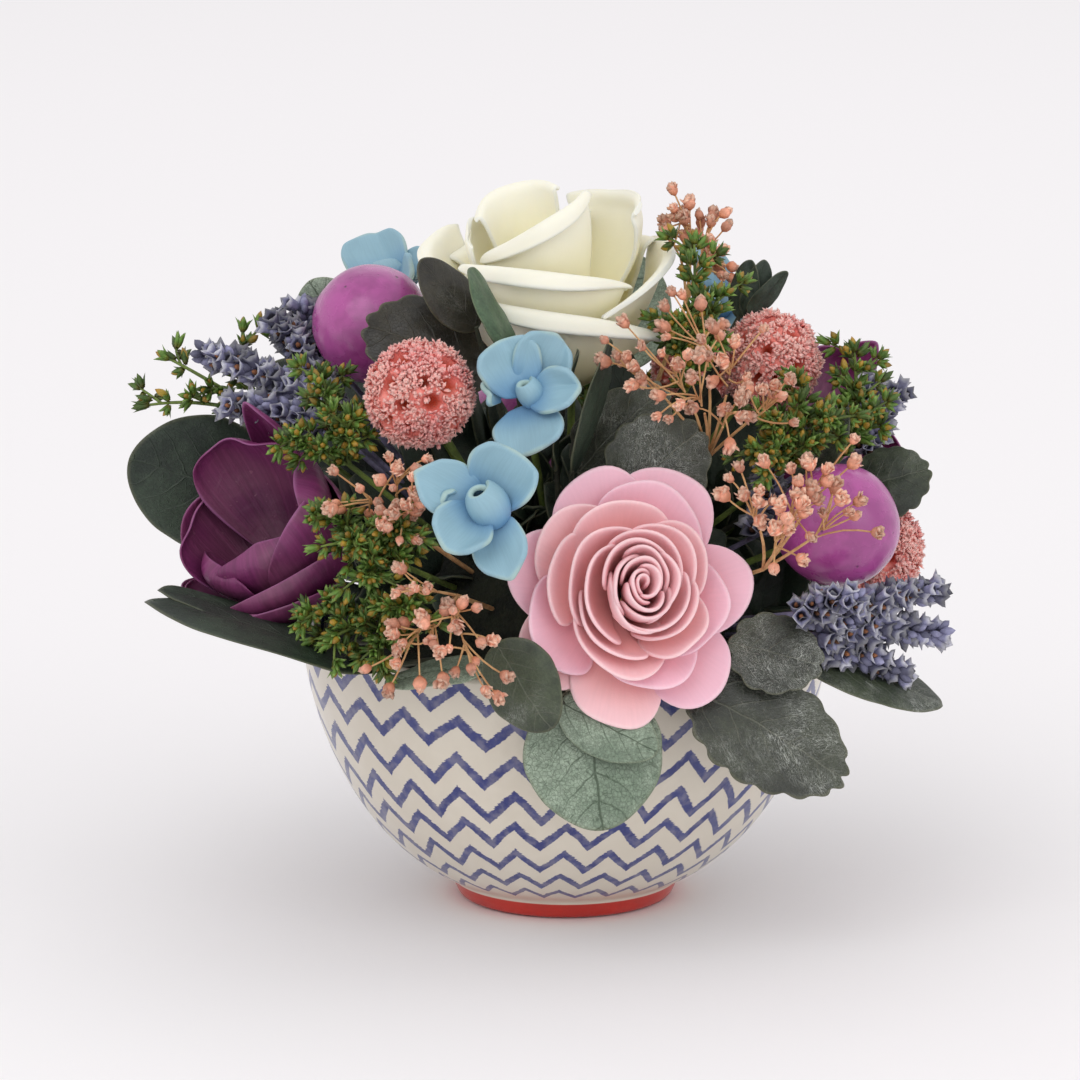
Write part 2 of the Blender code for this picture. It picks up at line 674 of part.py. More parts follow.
def moved(leaf, size, depth, lift):
    base, tip, width, facing, bend, cup = leaf
    base = Vector(base)
    tip = Vector(tip)
    out = Vector((base.x * 0.25, base.y, 0)).normalized() if abs(base.y) > 1 else Vector((0, -1, 0))
    if out.y > 0:
        out = -out if base.y < 20 else out
    step = out * depth + Vector((0, 0, lift + depth * (0.23 if out.y < 0 else 0)))
    middle = (base + tip) / 2
    return (middle + (base - middle) * size + step, middle + (tip - middle) * size + step,
            width * size, facing, bend, cup)


def make_leaves():
    for name, style, leaves in LEAVES:
        scallop = style == "scallop"
        rows = 8 if scallop else 6
        for size, depth, lift in leaf_moves():
            shells = []
            points = []
            for leaf in leaves:
                base, tip, width, facing, bend, cup = moved(leaf, size, depth, lift)
                shape = leaf_shape(base, tip, width, facing, bend, cup, scallop, rows)
                shells.append(sheet(shape, rows - (1 if points else 0), 4, 0.8))
                points.append(shape)
            if not all(is_clear(*s) for s in shells):
                continue
            root = points[0](0.12, 0.0)
            path, stem = clear_stem(root, 0.9)
            if path is None:
                continue
            links = []
            for k, shape in enumerate(points[1:]):
                share = path[0].lerp(path[1], 1.0 - 0.05 * k)
                links.append(tube([share, shape(0.12, 0.0)], [0.6, 0.6], 3))
            if not all(is_clear(*link, skip=("foam_dome",)) for link in links):
                continue
            shells += links
            cut_hole(path, 0.9)
            join(name, shells + [stem], "pale_leaf" if style == "pale" else "leaf")
            break


# Sprays
def spike(line, radii, sides, reach, rise, rng):
    """A stalk whose side faces are drawn out into pointed grains. A grain that would touch is left flat."""
    verts = []
    side = None
    for i, p in enumerate(line):
        ahead = (line[min(i + 1, len(line) - 1)] - line[max(i - 1, 0)]).normalized()
        if side is None:
            side = ahead.orthogonal().normalized()
        side = (side - ahead * side.dot(ahead)).normalized()
        other = ahead.cross(side)
        for k in range(sides):
            a = 2 * math.pi * (k + 0.5 * i) / sides
            verts.append(p + (side * math.cos(a) + other * math.sin(a)) * radii[i])
    faces = [tuple(range(sides - 1, -1, -1))]
    for i in range(len(line) - 1):
        ahead = (line[i + 1] - line[i]).normalized()
        for k in range(sides):
            k2 = (k + 1) % sides
            corners = (i * sides + k, i * sides + k2, (i + 1) * sides + k2, (i + 1) * sides + k)
            centre = sum((verts[c] for c in corners), Vector()) / 4
            out = centre - (line[i] + line[i + 1]) / 2
            out = (out - ahead * out.dot(ahead)).normalized()
            apex = centre + out * reach * rng.uniform(0.85, 1.15) + ahead * rise * rng.uniform(0.8, 1.2)
            trial = [verts[c] for c in corners] + [apex]
            if is_clear(trial, [(0, 1, 4), (1, 2, 4), (2, 3, 4), (3, 0, 4), (0, 3, 2), (0, 2, 1)]):
                verts.append(apex)
                for c in range(4):
                    faces.append((corners[c], corners[(c + 1) % 4], len(verts) - 1))
                continue
            faces.append((corners[0], corners[1], corners[2]))
            faces.append((corners[0], corners[2], corners[3]))
    verts.append(line[-1] + (line[-1] - line[-2]).normalized() * rise * 0.9)
    for k in range(sides):
        a = (len(line) - 1) * sides
        faces.append((a + k, a + (k + 1) % sides, len(verts) - 1))
    return verts, faces


def clear_run(line, radius):
    """How many points of a line can be reached before it meets another node."""
    for i in range(len(line) - 1):
        if not is_clear(*tube([line[i], line[i + 1]], [radius, radius], 4)):
            return i + 1
    return len(line)


def stalk_points(foot, tip, count, bow):
    points = []
    for i in range(count):
        t = i / (count - 1)
        points.append(foot.lerp(tip, t) + bow * math.sin(math.pi * t))
    return points


LAVENDER = [
    ("lavender_left_long", [((-70, -14, 146), (-105, -8, 160)), ((-66, -19, 140), (-97, -22, 147))]),
    ("lavender_left_upright", [((-70, 2, 152), (-85, 2, 168)), ((-66, 6, 154), (-77, 8, 172)),
                               ((-66, -8, 140), (-74, -4, 158))]),
    ("lavender_right_upper", [((84, -4, 130), (95, -6, 150)), ((82, 0, 134), (88, 2, 150))]),
    ("lavender_right_low", [((72, -60, 94), (105, -52, 102)), ((70, -60, 90), (107, -50, 88)),
                            ((70, -58, 86), (96, -52, 76)), ((64, -68, 98), (82, -76, 104)),
                            ((54, -31, 112), (58, -30, 137))]),
    ("lavender_back", [((-42, 60, 126), (-58, 80, 148)), ((-38, 66, 120), (-50, 88, 132)),
                       ((-44, 66, 108), (-58, 90, 110))]),
]


def make_lavender():
    for name, spikes in LAVENDER:
        rng = random.Random(name)
        path, stem = clear_stem(Vector(spikes[0][0]), 0.9)
        shells = [stem]
        for k, (foot, tip) in enumerate(spikes):
            foot = Vector(foot)
            tip = Vector(tip)
            if k:
                link = tube([path[0].lerp(path[1], 1.0 - 0.03 * k), foot], [0.6, 0.6], 3)
                if not is_clear(*link, skip=("foam_dome",)):
                    continue
                shells.append(link)
            d = (tip - foot).normalized()
            length = (tip - foot).length
            count = max(4, int(length / 6.0) + 1)
            line = stalk_points(foot - d * 1.5, tip - d * 3.5, count, Vector((0, 0, 1.5)))
            line = line[:clear_run(line, 1.9)]
            if len(line) < 3:
                continue
            radii = [1.1] + [1.9] * (len(line) - 2) + [1.3]
            shells.append(spike(line, radii, 4, 2.6, 4.2, rng))
        cut_hole(path, 0.9)
        join(name, shells, "lavender")


HERBS = [
    ("herb_far_left", (-86, 0, 140), [(-121, 2, 142), (-115, 6, 156), (-92, 8, 165)]),
    ("herb_left_top", (-60, -42, 134), [(-68, -38, 162), (-78, -47, 143), (-58, -54, 152)]),
    ("herb_left_middle", (-48, -64, 112), [(-60, -84, 124), (-44, -88, 128), (-68, -76, 130),
                                           (-54, -88, 112)]),
    ("herb_left_low", (-46, -66, 98), [(-74, -77, 100), (-66, -84, 94), (-52, -90, 88), (-42, -94, 106)]),
    ("herb_top", (33, -24, 150), [(36, -12, 194), (28, -30, 174), (43, -28, 182)]),
    ("herb_right", (62, -34, 132), [(65, -38, 160), (55, -48, 150), (73, -42, 150), (50, -60, 142)]),
    ("herb_right_outer", (76, -20, 130), [(81, -16, 164), (85, -24, 148)]),
    ("herb_back", (6, 60, 126), [(6, 82, 156), (-10, 84, 150), (22, 84, 132), (18, 92, 112), (30, 76, 122)]),
]


def make_herbs():
    for name, base, tips in HERBS:
        rng = random.Random(name)
        base = Vector(base)
        path, stem = clear_stem(base, 0.9)
        shells = [stem]
        away = (base - HEART).normalized()
        for k, tip in enumerate(tips):
            tip = Vector(tip)
            d = (tip - base).normalized()
            count = max(4, int((tip - base).length / 6.5) + 1)
            line = stalk_points(on_stem(path, 1.7 * k), tip - d * 3.5, count, away * 3)
            line = line[:clear_run(line, 1.4)]
            if len(line) < 3:
                continue
            radii = [0.8] + [1.5] * (len(line) - 2) + [1.1]
            shells.append(spike(line, radii, 3, 4.6, 3.6, rng))
        cut_hole(path, 0.9)
        join(name, shells, "herb")


PEACH = [
    ("peach_spray_top", (34, 8, 172), [(35, 12, 200), (28, 10, 192), (42, 12, 196), (44, 8, 186)]),
    ("peach_spray_middle", (39, -42, 136), [(37, -50, 180), (14, -58, 168), (26, -64, 170), (46, -62, 172),
                                           (58, -66, 158), (44, -70, 156), (34, -72, 164)]),
    ("peach_spray_right", (54, -66, 110), [(62, -92, 136), (70, -86, 142), (56, -98, 128), (48, -92, 136),
                                          (76, -84, 130)]),
    ("peach_spray_left", (-44, -66, 122), [(-46, -84, 142), (-56, -82, 136), (-40, -90, 134),
                                           (-50, -90, 128)]),
    ("peach_spray_low", (-30, -72, 104), [(-38, -100, 98), (-46, -98, 92), (-30, -104, 104), (-38, -100, 112),
                                         (-26, -104, 92)]),
    ("peach_spray_back", (8, 70, 108), [(6, 98, 122), (20, 96, 120), (0, 100, 104), (12, 102, 96),
                                        (30, 94, 100)]),
]


def head_on_stalk(line, end, size):
    """A thin stalk that widens into a small closed head."""
    d = (end - line[-1]).normalized()
    path = list(line) + [end - d * size * 0.5, end, end + d * size * 0.42]
    radii = [0.5] * (len(line) + 1) + [size / 2, 0.9]
    return tube(path, radii, 3)


def make_peach_sprays():
    for name, base, tips in PEACH:
        rng = random.Random(name)
        base = Vector(base)
        path, stem = clear_stem(base, 0.8)
        shells = [stem]
        away = (base - HEART).normalized()
        for k, tip in enumerate(tips):
            tip = Vector(tip)
            start = on_stem(path, 1.4 * k)
            fork = start + (tip - start) * 0.5 + away * 3
            branch = head_on_stalk([start, fork], tip, rng.uniform(5.4, 6.6))
            if not is_clear(*branch):
                continue
            shells.append(branch)
            spread = Vector((rng.uniform(-10, 10), rng.uniform(-6, 6), rng.uniform(-8, 8)))
            foot = fork.lerp(tip, 0.3)
            end = foot + (tip - foot) * 0.7 + spread
            if (end - foot).length < 8.0:
                end = foot + (end - foot).normalized() * 8.0
            extra = head_on_stalk([foot], end, rng.uniform(5.4, 6.6))
            if is_clear(*extra):
                shells.append(extra)
        cut_hole(path, 0.8)
        join(name, shells, "peach")


def main():
    for obj in list(bpy.data.objects):
        bpy.data.objects.remove(obj)
    make_bowl()
    remember_dome()
    make_white_rose()
    make_pink_rose()
    make_plum_blooms()
    make_blue_blooms()
    make_smooth_balls()
    make_pitted_balls()
    make_leaves()
    make_lavender()
    make_herbs()
    make_peach_sprays()
    make_foam()


main()
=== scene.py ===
"""Dried flower arrangement in a glazed bowl: its finished surfaces, with the light and the camera.
Places are in millimetres about the bowl's axis. +Z is up and -Y is the front."""

import random
from math import acos, atan2, cos, exp, hypot, pi, radians, sin, sqrt

import bpy
import numpy as np
from mathutils import Matrix, Vector, noise


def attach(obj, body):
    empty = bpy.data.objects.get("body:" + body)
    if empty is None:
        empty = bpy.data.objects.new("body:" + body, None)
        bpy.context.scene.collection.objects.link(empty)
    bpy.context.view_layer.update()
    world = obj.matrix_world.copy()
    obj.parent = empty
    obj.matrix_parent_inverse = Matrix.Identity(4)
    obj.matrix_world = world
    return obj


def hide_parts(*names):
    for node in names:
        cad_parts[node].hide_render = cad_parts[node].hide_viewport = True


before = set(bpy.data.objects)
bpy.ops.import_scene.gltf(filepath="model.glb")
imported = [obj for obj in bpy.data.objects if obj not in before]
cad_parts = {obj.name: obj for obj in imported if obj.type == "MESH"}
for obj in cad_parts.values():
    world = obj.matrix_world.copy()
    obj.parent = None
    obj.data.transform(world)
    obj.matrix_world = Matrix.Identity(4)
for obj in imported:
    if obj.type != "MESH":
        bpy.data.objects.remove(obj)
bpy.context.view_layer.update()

# The view, and where the bowl stands in it
MM = 0.001
SHIFT = Vector((9.0, 0.0, 0.0))
VIEW_AIM = Vector((-7.3, 0.0, 103.1))
VIEW_RISE = radians(12.95)
VIEW_DISTANCE = 2000.0
LENS = 234.6

# The bowl and the foam that the stems stand in
RIM_RADIUS = 75.3
BOWL_HEIGHT = 80.0
WALL = 4.0
WALL_FOOT = 6.8
WALL_TOP = 78.6
FOOT_RADIUS = 30.5
FOOT_BAND = 4.6
BOWL_STEPS = 160
FOAM_STEPS = 96
HEART = Vector((0.0, 0.0, 75.0))
FOAM_RADIUS = 58.0
FOAM_RISE = 44.0
# The dark bed over the foam and the dark leaves pinned in it are painted shade
SHADE_BED_REACH = 1.04
SHADE_LEAVES = 84
ALL_SHADE_LEAVES = 160

# The painted rows, each as the heights of its peaks and its valleys and its brush width
ROWS = [(79.6, 72.2, 3.0), (69.0, 61.7, 3.0), (58.0, 49.9, 3.0), (47.0, 38.9, 2.9), (37.1, 30.1, 2.6),
        (27.6, 21.4, 2.2), (18.9, 14.6, 1.75), (12.4, 9.3, 1.2)]
ZIGZAGS = 27
BRUSH_REACH = 0.66

# How thick the petals and leaves are, and how wide their stems
FOAM_PETAL = 1.5
PINK_PETAL = 1.15
PLUM_PETAL = 0.7
SKY_PETAL = 1.8
LEAF = 0.55
SHADE_LEAF = 0.5
STEM = 1.1

# What the small heads keep clear of, as (centre, radius)
KEEP_OUT = [((-54.6, -4, 166.5), 18.5), ((75.3, -46, 117.7), 19.0), ((-40.5, -53, 156.5), 17.5),
            ((57.5, -10, 157), 16.5), ((87, -12, 102.5), 16.0), ((-14, 82, 118), 18.5), ((40, 62, 140), 17.0),
            ((-11, -60, 157), 15.0), ((-22.5, -95, 134), 16.0), ((-22, -95, 128), 17.0),
            ((-4, -4, 172), 31.0), ((4, -6, 186), 27.0), ((17, -80, 110), 33.0)]

made_materials = {}


# Picking, joining and finishing
def deselect():
    bpy.ops.object.select_all(action="DESELECT")


def pick(*objects):
    deselect()
    for obj in objects:
        obj.select_set(True)
    bpy.context.view_layer.objects.active = objects[0]


def added(primitive, **settings):
    """Adds one of Blender's primitives, alone in the selection."""
    deselect()
    primitive(**settings)
    return bpy.context.active_object


def new_object(name, data):
    obj = bpy.data.objects.new(name, data)
    bpy.context.scene.collection.objects.link(obj)
    return obj


def to_world(p):
    return (Vector(p) + SHIFT) * MM


def join(objects, name):
    pick(*objects)
    if len(objects) > 1:
        bpy.ops.object.join()
    obj = bpy.context.active_object
    obj.name = name
    obj.data.name = name
    return obj


def smooth_shade(obj):
    for polygon in obj.data.polygons:
        polygon.use_smooth = True


def coat(obj, material):
    """Gives an object its material, by name."""
    obj.data.materials.clear()
    obj.data.materials.append(made_materials[material])


def thicken(obj, thick, levels=1):
    """Gives an open sheet its thickness and rounds its edges."""
    wall = obj.modifiers.new("thickness", "SOLIDIFY")
    wall.thickness = thick * MM
    wall.offset = 0
    if levels:
        rounding = obj.modifiers.new("rounding", "SUBSURF")
        rounding.levels = levels
        rounding.render_levels = levels
    pick(obj)
    for modifier in list(obj.modifiers):
        bpy.ops.object.modifier_apply(modifier=modifier.name)
    smooth_shade(obj)


def stand_for(obj, *nodes):
    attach(obj, "root")
    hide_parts(*nodes)


# Curves and directions
def smooth(values, u):
    """A smooth curve through evenly spaced values."""
    u = min(max(u, 0.0), 1.0) * (len(values) - 1)
    i = min(int(u), len(values) - 2)
    t = u - i
    before = values[i - 1] if i else 2 * values[0] - values[1]
    after = values[i + 2] if i + 2 < len(values) else 2 * values[-1] - values[-2]
    a = values[i]
    b = values[i + 1]
    return 0.5 * (2 * a + (b - before) * t + (2 * before - 5 * a + 4 * b - after) * t * t
                  + (3 * a - before - 3 * b + after) * t ** 3)


def radial(azimuth, elevation):
    a = radians(azimuth)
    e = radians(elevation)
    return Vector((cos(e) * sin(a), -cos(e) * cos(a), sin(e)))


def foam_reach(d):
    """How far the foam's dome lies from the heart in a direction."""
    flat = hypot(d.x, d.y)
    return 1 / sqrt((flat / FOAM_RADIUS) ** 2 + (max(d.z, 0) / FOAM_RISE) ** 2)


def root_of(base):
    """The point in the foam that a stem to this base comes from."""
    d = (Vector(base) - HEART).normalized()
    d.z = max(d.z, 0.1)
    d.normalize()
    return HEART + d * (foam_reach(d) - 4.0)


def away_from_heart(p):
    return (Vector(p) - HEART).normalized()


def aim(axis, roll=0.0):
    """The turn that brings +Z to an axis, after a roll about +Z."""
    axis = Vector(axis).normalized()
    return axis.to_track_quat("Z", "Y").to_matrix() @ Matrix.Rotation(roll, 3, "Z")


def outward(p):
    """The flat direction away from the Z axis, or none at a pole."""
    flat = Vector((p.x, p.y))
    return flat.normalized() if flat.length > 1e-4 else Vector((0.0, 0.0))


def is_free(p):
    return all((p - Vector(centre)).length > radius for centre, radius in KEEP_OUT)


def drawn(rng, *ranges):
    """A vector whose parts are drawn at random, each from its own range."""
    return Vector([rng.uniform(low, high) for low, high in ranges])


def any_way(rng):
    return Vector((rng.gauss(0, 1), rng.gauss(0, 1), rng.gauss(0, 1)))


def any_roll(rng):
    return rng.uniform(0, 6.3)


class Frame:
    """A bloom's centre, its axis and the direction that counts as angle 0."""

    def __init__(self, centre, axis, towards):
        self.centre = Vector(centre)
        self.axis = Vector(axis).normalized()
        towards = Vector(towards)
        self.x = (towards - self.axis * towards.dot(self.axis)).normalized()
        self.y = self.axis.cross(self.x)

    def at(self, angle, radius, height):
        out = self.x * cos(angle) + self.y * sin(angle)
        return self.centre + out * radius + self.axis * height


# Sheets, stems and small repeats
def blade(place, rows, cols, material, rounded=0.0):
    """A grid laid over place(u, v): u runs from base to tip and v from side to side.
    Rounded eases the grid's square outline towards a disc, and u and v stay the axes across it."""
    obj = added(bpy.ops.mesh.primitive_grid_add, x_subdivisions=cols, y_subdivisions=rows, size=2)
    spots = []
    for vert in obj.data.vertices:
        v = vert.co.x
        t = vert.co.y
        eased = (v * sqrt(1 - t * t / 2), t * sqrt(1 - v * v / 2))
        v += (eased[0] - v) * rounded
        t += (eased[1] - t) * rounded
        spots.append((v, (t + 1) / 2))
        vert.co = to_world(place((t + 1) / 2, v))
    layer = obj.data.uv_layers[0].data
    for loop in obj.data.loops:
        v, u = spots[loop.vertex_index]
        layer[loop.index].uv = ((v + 1) / 2, u)
    coat(obj, material)
    return obj


def stalks(runs, name, material):
    """Stems as one mesh. A run is a list of (point, radius)."""
    curve = bpy.data.curves.new(name, "CURVE")
    curve.dimensions = "3D"
    curve.bevel_depth = MM
    curve.bevel_resolution = 1
    curve.use_fill_caps = True
    curve.resolution_u = 1
    for run in runs:
        spline = curve.splines.new("POLY")
        spline.points.add(len(run) - 1)
        for point, (p, radius) in zip(spline.points, run):
            point.co = (*to_world(p), 1)
            point.radius = radius
    pick(new_object(name, curve))
    bpy.ops.object.convert(target="MESH")
    obj = bpy.context.active_object
    coat(obj, material)
    smooth_shade(obj)
    return obj


def bowed(start, end, count, bow=Vector()):
    start = Vector(start)
    end = Vector(end)
    return [start.lerp(end, i / (count - 1)) + bow * sin(pi * i / (count - 1)) for i in range(count)]


def tapered(points, thick, thin):
    last = len(points) - 1
    return [(p, thick + (thin - thick) * i / last) for i, p in enumerate(points)]


def along(line, t):
    """The point and the direction at a share of a line's way."""
    at = t * (len(line) - 1)
    k = min(int(at), len(line) - 2)
    return line[k].lerp(line[k + 1], at - k), (line[k + 1] - line[k]).normalized()


def finish_piece(parts, runs, name, node, stalk):
    """Joins a piece with its stems and puts it in the place of its solid."""
    stand_for(join([*parts, stalks(runs, name + "_stalks", stalk)], name), node)


def new_zone(obj):
    """Values that tell a material where a point lies, such as from base to tip or in a pit."""
    return obj.data.attributes.new("zone", "FLOAT", "POINT").data


def spindle(length, width, thick, bend, sides=4, rings=5, belly=1.0, zone=(0.0, 1.0)):
    """A small closed leaf or bud along +Z, in millimetres, that bends towards +X.
    Its zone runs from its base to its tip."""
    obj = added(bpy.ops.mesh.primitive_uv_sphere_add, segments=sides, ring_count=rings, radius=1)
    zones = new_zone(obj)
    for vert in obj.data.vertices:
        u = 1 - acos(max(-1.0, min(1.0, vert.co.z))) / pi
        around = outward(vert.co)
        swell = sin(pi * u ** belly) ** 0.8 if 0 < u < 1 else 0.0
        x = around.x * swell * thick / 2 + bend * u * u
        y = around.y * swell * width / 2
        vert.co = Vector((x, y, u * length - abs(bend) * u * 0.2))
        zones[vert.index].value = zone[0] + (zone[1] - zone[0]) * u
    return obj


def model_of(*parts):
    """The points, faces and zones of a small model, joined from parts of (object, turn, place).
    The parts are then taken out of the scene."""
    for obj, turn, place in parts:
        obj.data.transform(turn.to_4x4())
        obj.data.transform(Matrix.Translation(Vector(place)))
    obj = join([part[0] for part in parts], "model")
    data = obj.data
    points = np.empty(len(data.vertices) * 3)
    data.vertices.foreach_get("co", points)
    zones = np.empty(len(data.vertices))
    data.attributes["zone"].data.foreach_get("value", zones)
    faces = [tuple(p.vertices) for p in data.polygons]
    bpy.data.objects.remove(obj)
    return points.reshape(-1, 3), faces, zones


def copies(name, models, places, material, rng):
    """One mesh of many copies of small models. A place is (point, axis, roll, size).
    Each copy has its own tint."""
    verts = []
    faces = []
    zones = []
    tints = []
    start = 0
    for point, axis, roll, size in places:
        points, sides, zone = models[rng.randrange(len(models))]
        turn = np.array(aim(axis, roll)) * size
        verts.append(points @ turn.T + np.array(Vector(point) + SHIFT))
        faces += [tuple(start + i for i in side) for side in sides]
        zones.append(zone)
        tints.append(np.full(len(points), rng.random()))
        start += len(points)
    mesh = bpy.data.meshes.new(name)
    mesh.from_pydata((np.concatenate(verts) * MM).tolist(), [], faces)
    for title, values in (("zone", zones), ("tint", tints)):
        attribute = mesh.attributes.new(title, "FLOAT", "POINT")
        attribute.data.foreach_set("value", np.concatenate(values))
    obj = new_object(name, mesh)
    coat(obj, material)
    smooth_shade(obj)
    return obj


# Shader building
class Value:
    """An output socket in a shader. Arithmetic on it adds the Math nodes."""

    def __init__(self, socket):
        self.socket = socket

    def __add__(self, other):
        return calc("ADD", self, other)

    def __sub__(self, other):
        return calc("SUBTRACT", self, other)

    def __rsub__(self, other):
        return calc("SUBTRACT", other, self)

    def __mul__(self, other):
        return calc("MULTIPLY", self, other)

    def __abs__(self):
        return calc("ABSOLUTE", self)


def link(value, socket):
    """Feeds a socket from another one, or sets it to a plain value."""
    if isinstance(value, Value):
        socket.id_data.links.new(value.socket, socket)
    else:
        socket.default_value = value


def tree_of(*values):
    return next(value.socket.id_data for value in values if isinstance(value, Value))


def add(tree, kind, inputs, output=0, **settings):
    """Adds a shader node, fills in its inputs and gives one of its outputs."""
    made = tree.nodes.new("ShaderNode" + kind)
    for title, setting in settings.items():
        setattr(made, title, setting)
    for title, value in inputs.items():
        link(value, made.inputs[title])
    return Value(made.outputs[output])


def calc(operation, *values):
    return add(tree_of(*values), "Math", dict(enumerate(values)), operation=operation)


def largest(a, b):
    return calc("MAXIMUM", a, b)


def blend(factor, a, b, mode="MIX"):
    inputs = {0: factor, 6: a, 7: b}
    return add(tree_of(factor, a, b), "Mix", inputs, 2, data_type="RGBA", blend_type=mode)


def dimmed(colour, factor):
    grey = add(tree_of(factor), "CombineColor", {0: factor, 1: factor, 2: factor})
    return blend(1.0, colour, grey, "MULTIPLY")


def span(value, low, high, to_low=0.0, to_high=1.0):
    """Takes a value from one range to another, with smooth ends."""
    inputs = {0: value, 1: low, 2: high, 3: to_low, 4: to_high}
    return add(tree_of(value), "MapRange", inputs, interpolation_type="SMOOTHSTEP")


def rgb(r, g, b):
    """A colour given as seen on screen, 0 to 255."""
    return (*[((c / 255 + 0.055) / 1.055) ** 2.4 for c in (r, g, b)], 1.0)


def surface_point(tree, kind="Object"):
    return add(tree, "TexCoord", {}, kind)


def split(vector):
    parts = add(tree_of(vector), "SeparateXYZ", {0: vector}).socket.node.outputs
    return [Value(part) for part in parts]


def vector_math(operation, a, b, output=0):
    return add(tree_of(a, b), "VectorMath", {0: a, 1: b}, output, operation=operation)


def grainy(tree, scale, detail=2.0, point=None, output="Fac", **more):
    inputs = {"Vector": point or surface_point(tree), "Scale": scale, "Detail": detail, **more}
    return add(tree, "TexNoise", inputs, output)


def cells(point, scale, feature="F1"):
    """How far a point is from the middle or the edge of a cell."""
    return add(tree_of(point), "TexVoronoi", {"Vector": point, "Scale": scale}, "Distance", feature=feature)


def named(tree, title):
    return add(tree, "Attribute", {}, "Fac", attribute_name=title)


def start_group(name, outputs, **inputs):
    """An empty node group with named outputs and named inputs, each with its usual value."""
    tree = bpy.data.node_groups.new(name, "ShaderNodeTree")
    for title, usual in inputs.items():
        kind = "NodeSocketFloat" if isinstance(usual, float) else "NodeSocketColor"
        socket = tree.interface.new_socket(name=title.replace("_", " "), in_out="INPUT", socket_type=kind)
        socket.default_value = usual
    for title in outputs:
        kind = "NodeSocketColor" if title == "Color" else "NodeSocketFloat"
        tree.interface.new_socket(name=title, in_out="OUTPUT", socket_type=kind)
    entry = tree.nodes.new("NodeGroupInput")
    return tree, *[Value(entry.outputs[i]) for i in range(len(inputs))]


def finish_group(tree, *values):
    """Feeds a group's outputs in their order."""
    leave = tree.nodes.new("NodeGroupOutput")
    for i, value in enumerate(values):
        link(value, leave.inputs[i])
    return tree


def use(tree, made, **inputs):
    """Places a node group and gives its outputs in their order."""
    placed = tree.nodes.new("ShaderNodeGroup")
    placed.node_tree = made
    for title, value in inputs.items():
        link(value, placed.inputs[title.replace("_", " ")])
    return [Value(output) for output in placed.outputs]


def make_mottle():
    """Soft patches that take one colour towards another."""
    tree, first, second, scale, amount = start_group("mottle", ["Color"], First=rgb(255, 255, 255),
                                                     Second=rgb(0, 0, 0), Patch_Scale=60.0, Amount=0.5)
    patches = span(grainy(tree, scale, 3.0) * 0.7 + grainy(tree, scale * 7.0) * 0.3, 0.38, 0.62)
    return finish_group(tree, blend(patches * amount, first, second))


def make_petal_streaks():
    """Fine lengthwise fibres of a petal or a rolled wood shaving, from its UV map."""
    tree, count, length = start_group("petal_streaks", ["Streaks", "Along", "Side"], Count=40.0, Length=2.0)
    x, y, _ = split(surface_point(tree, "UV"))
    fibres = add(tree, "CombineXYZ", {0: x * count, 1: y * length})
    return finish_group(tree, grainy(tree, 1.0, 3.0, fibres), y, abs(x * 2.0 - 1.0))


def make_leaf_veins():
    """Midrib and side veins, the net between them, the fine hairs along them and the leaf's rim,
    from its UV map."""
    tree, pairs, net_scale = start_group("leaf_veins", ["Ribs", "Net", "Hairs", "Rim"], Pairs=6.0,
                                         Net_Scale=34.0)
    uv = surface_point(tree, "UV")
    sway = vector_math("MULTIPLY", grainy(tree, 4.0, 2.0, uv, "Color"), (0.07, 0.07, 0.0))
    warped = vector_math("ADD", uv, sway)
    x, y, _ = split(warped)
    across = abs(x - 0.535)
    midrib = span(across, 0.003, 0.013, 1.0, 0.0)
    climb = y - (across * 0.5 + across * across * 0.9)
    saw = calc("FRACT", climb * pairs)
    side = span(abs(saw - 0.5), 0.012, 0.05, 1.0, 0.0) * span(across, 0.15, 0.42, 0.75, 0.0)
    net = span(cells(warped, net_scale, "DISTANCE_TO_EDGE"), 0.01, 0.06, 1.0, 0.0)
    strands = add(tree, "CombineXYZ", {0: across * 16.0, 1: climb * 62.0})
    hairs = span(cells(strands, 1.0, "DISTANCE_TO_EDGE"), 0.008, 0.07, 1.0, 0.0)
    rim = span(vector_math("DISTANCE", uv, (0.5, 0.5, 0.0), "Value"), 0.46, 0.5)
    return finish_group(tree, largest(midrib, side), net, hairs, rim)


def make_frost():
    """Silvery scratches that lie on a preserved leaf, and how thick they lie."""
    tree, amount, seed = start_group("silver_frost", ["Frost", "Cover"], Amount=0.5, Seed=0.0)
    point = add(tree, "Mapping", {0: surface_point(tree), 1: add(tree, "CombineXYZ", {0: seed})})
    lines = grainy(tree, 480.0, 3.0, point, Roughness=0.7, Distortion=2.4)
    scratch = span(abs(lines - 0.5), 0.0, 0.022, 1.0, 0.0)
    cover = span(grainy(tree, 60.0, 3.0, point), 0.66 - amount * 0.4, 0.72) * span(amount, 0.0, 0.4)
    return finish_group(tree, scratch * cover, cover)


mottle = make_mottle()
petal_streaks = make_petal_streaks()
leaf_veins = make_leaf_veins()
silver_frost = make_frost()


def mottled(tree, first, second, scale, amount):
    return use(tree, mottle, First=first, Second=second, Patch_Scale=scale, Amount=amount)[0]


def start_material(name, roughness, **fixed):
    """A material with its Principled shader. Fixed values go straight to the shader's sockets."""
    material = bpy.data.materials.new(name)
    material.use_nodes = True
    made_materials[name] = material
    shader = material.node_tree.nodes["Principled BSDF"]
    for title, value in {"Roughness": roughness, **fixed}.items():
        shader.inputs[title.replace("_", " ")].default_value = value
    return material.node_tree, shader


def finish_material(shader, colour, height, distance, strength):
    """Feeds a shader its colour and the relief of its surface."""
    relief = {"Height": height, "Distance": distance, "Strength": strength}
    link(colour, shader.inputs["Base Color"])
    link(add(shader.id_data, "Bump", relief), shader.inputs["Normal"])


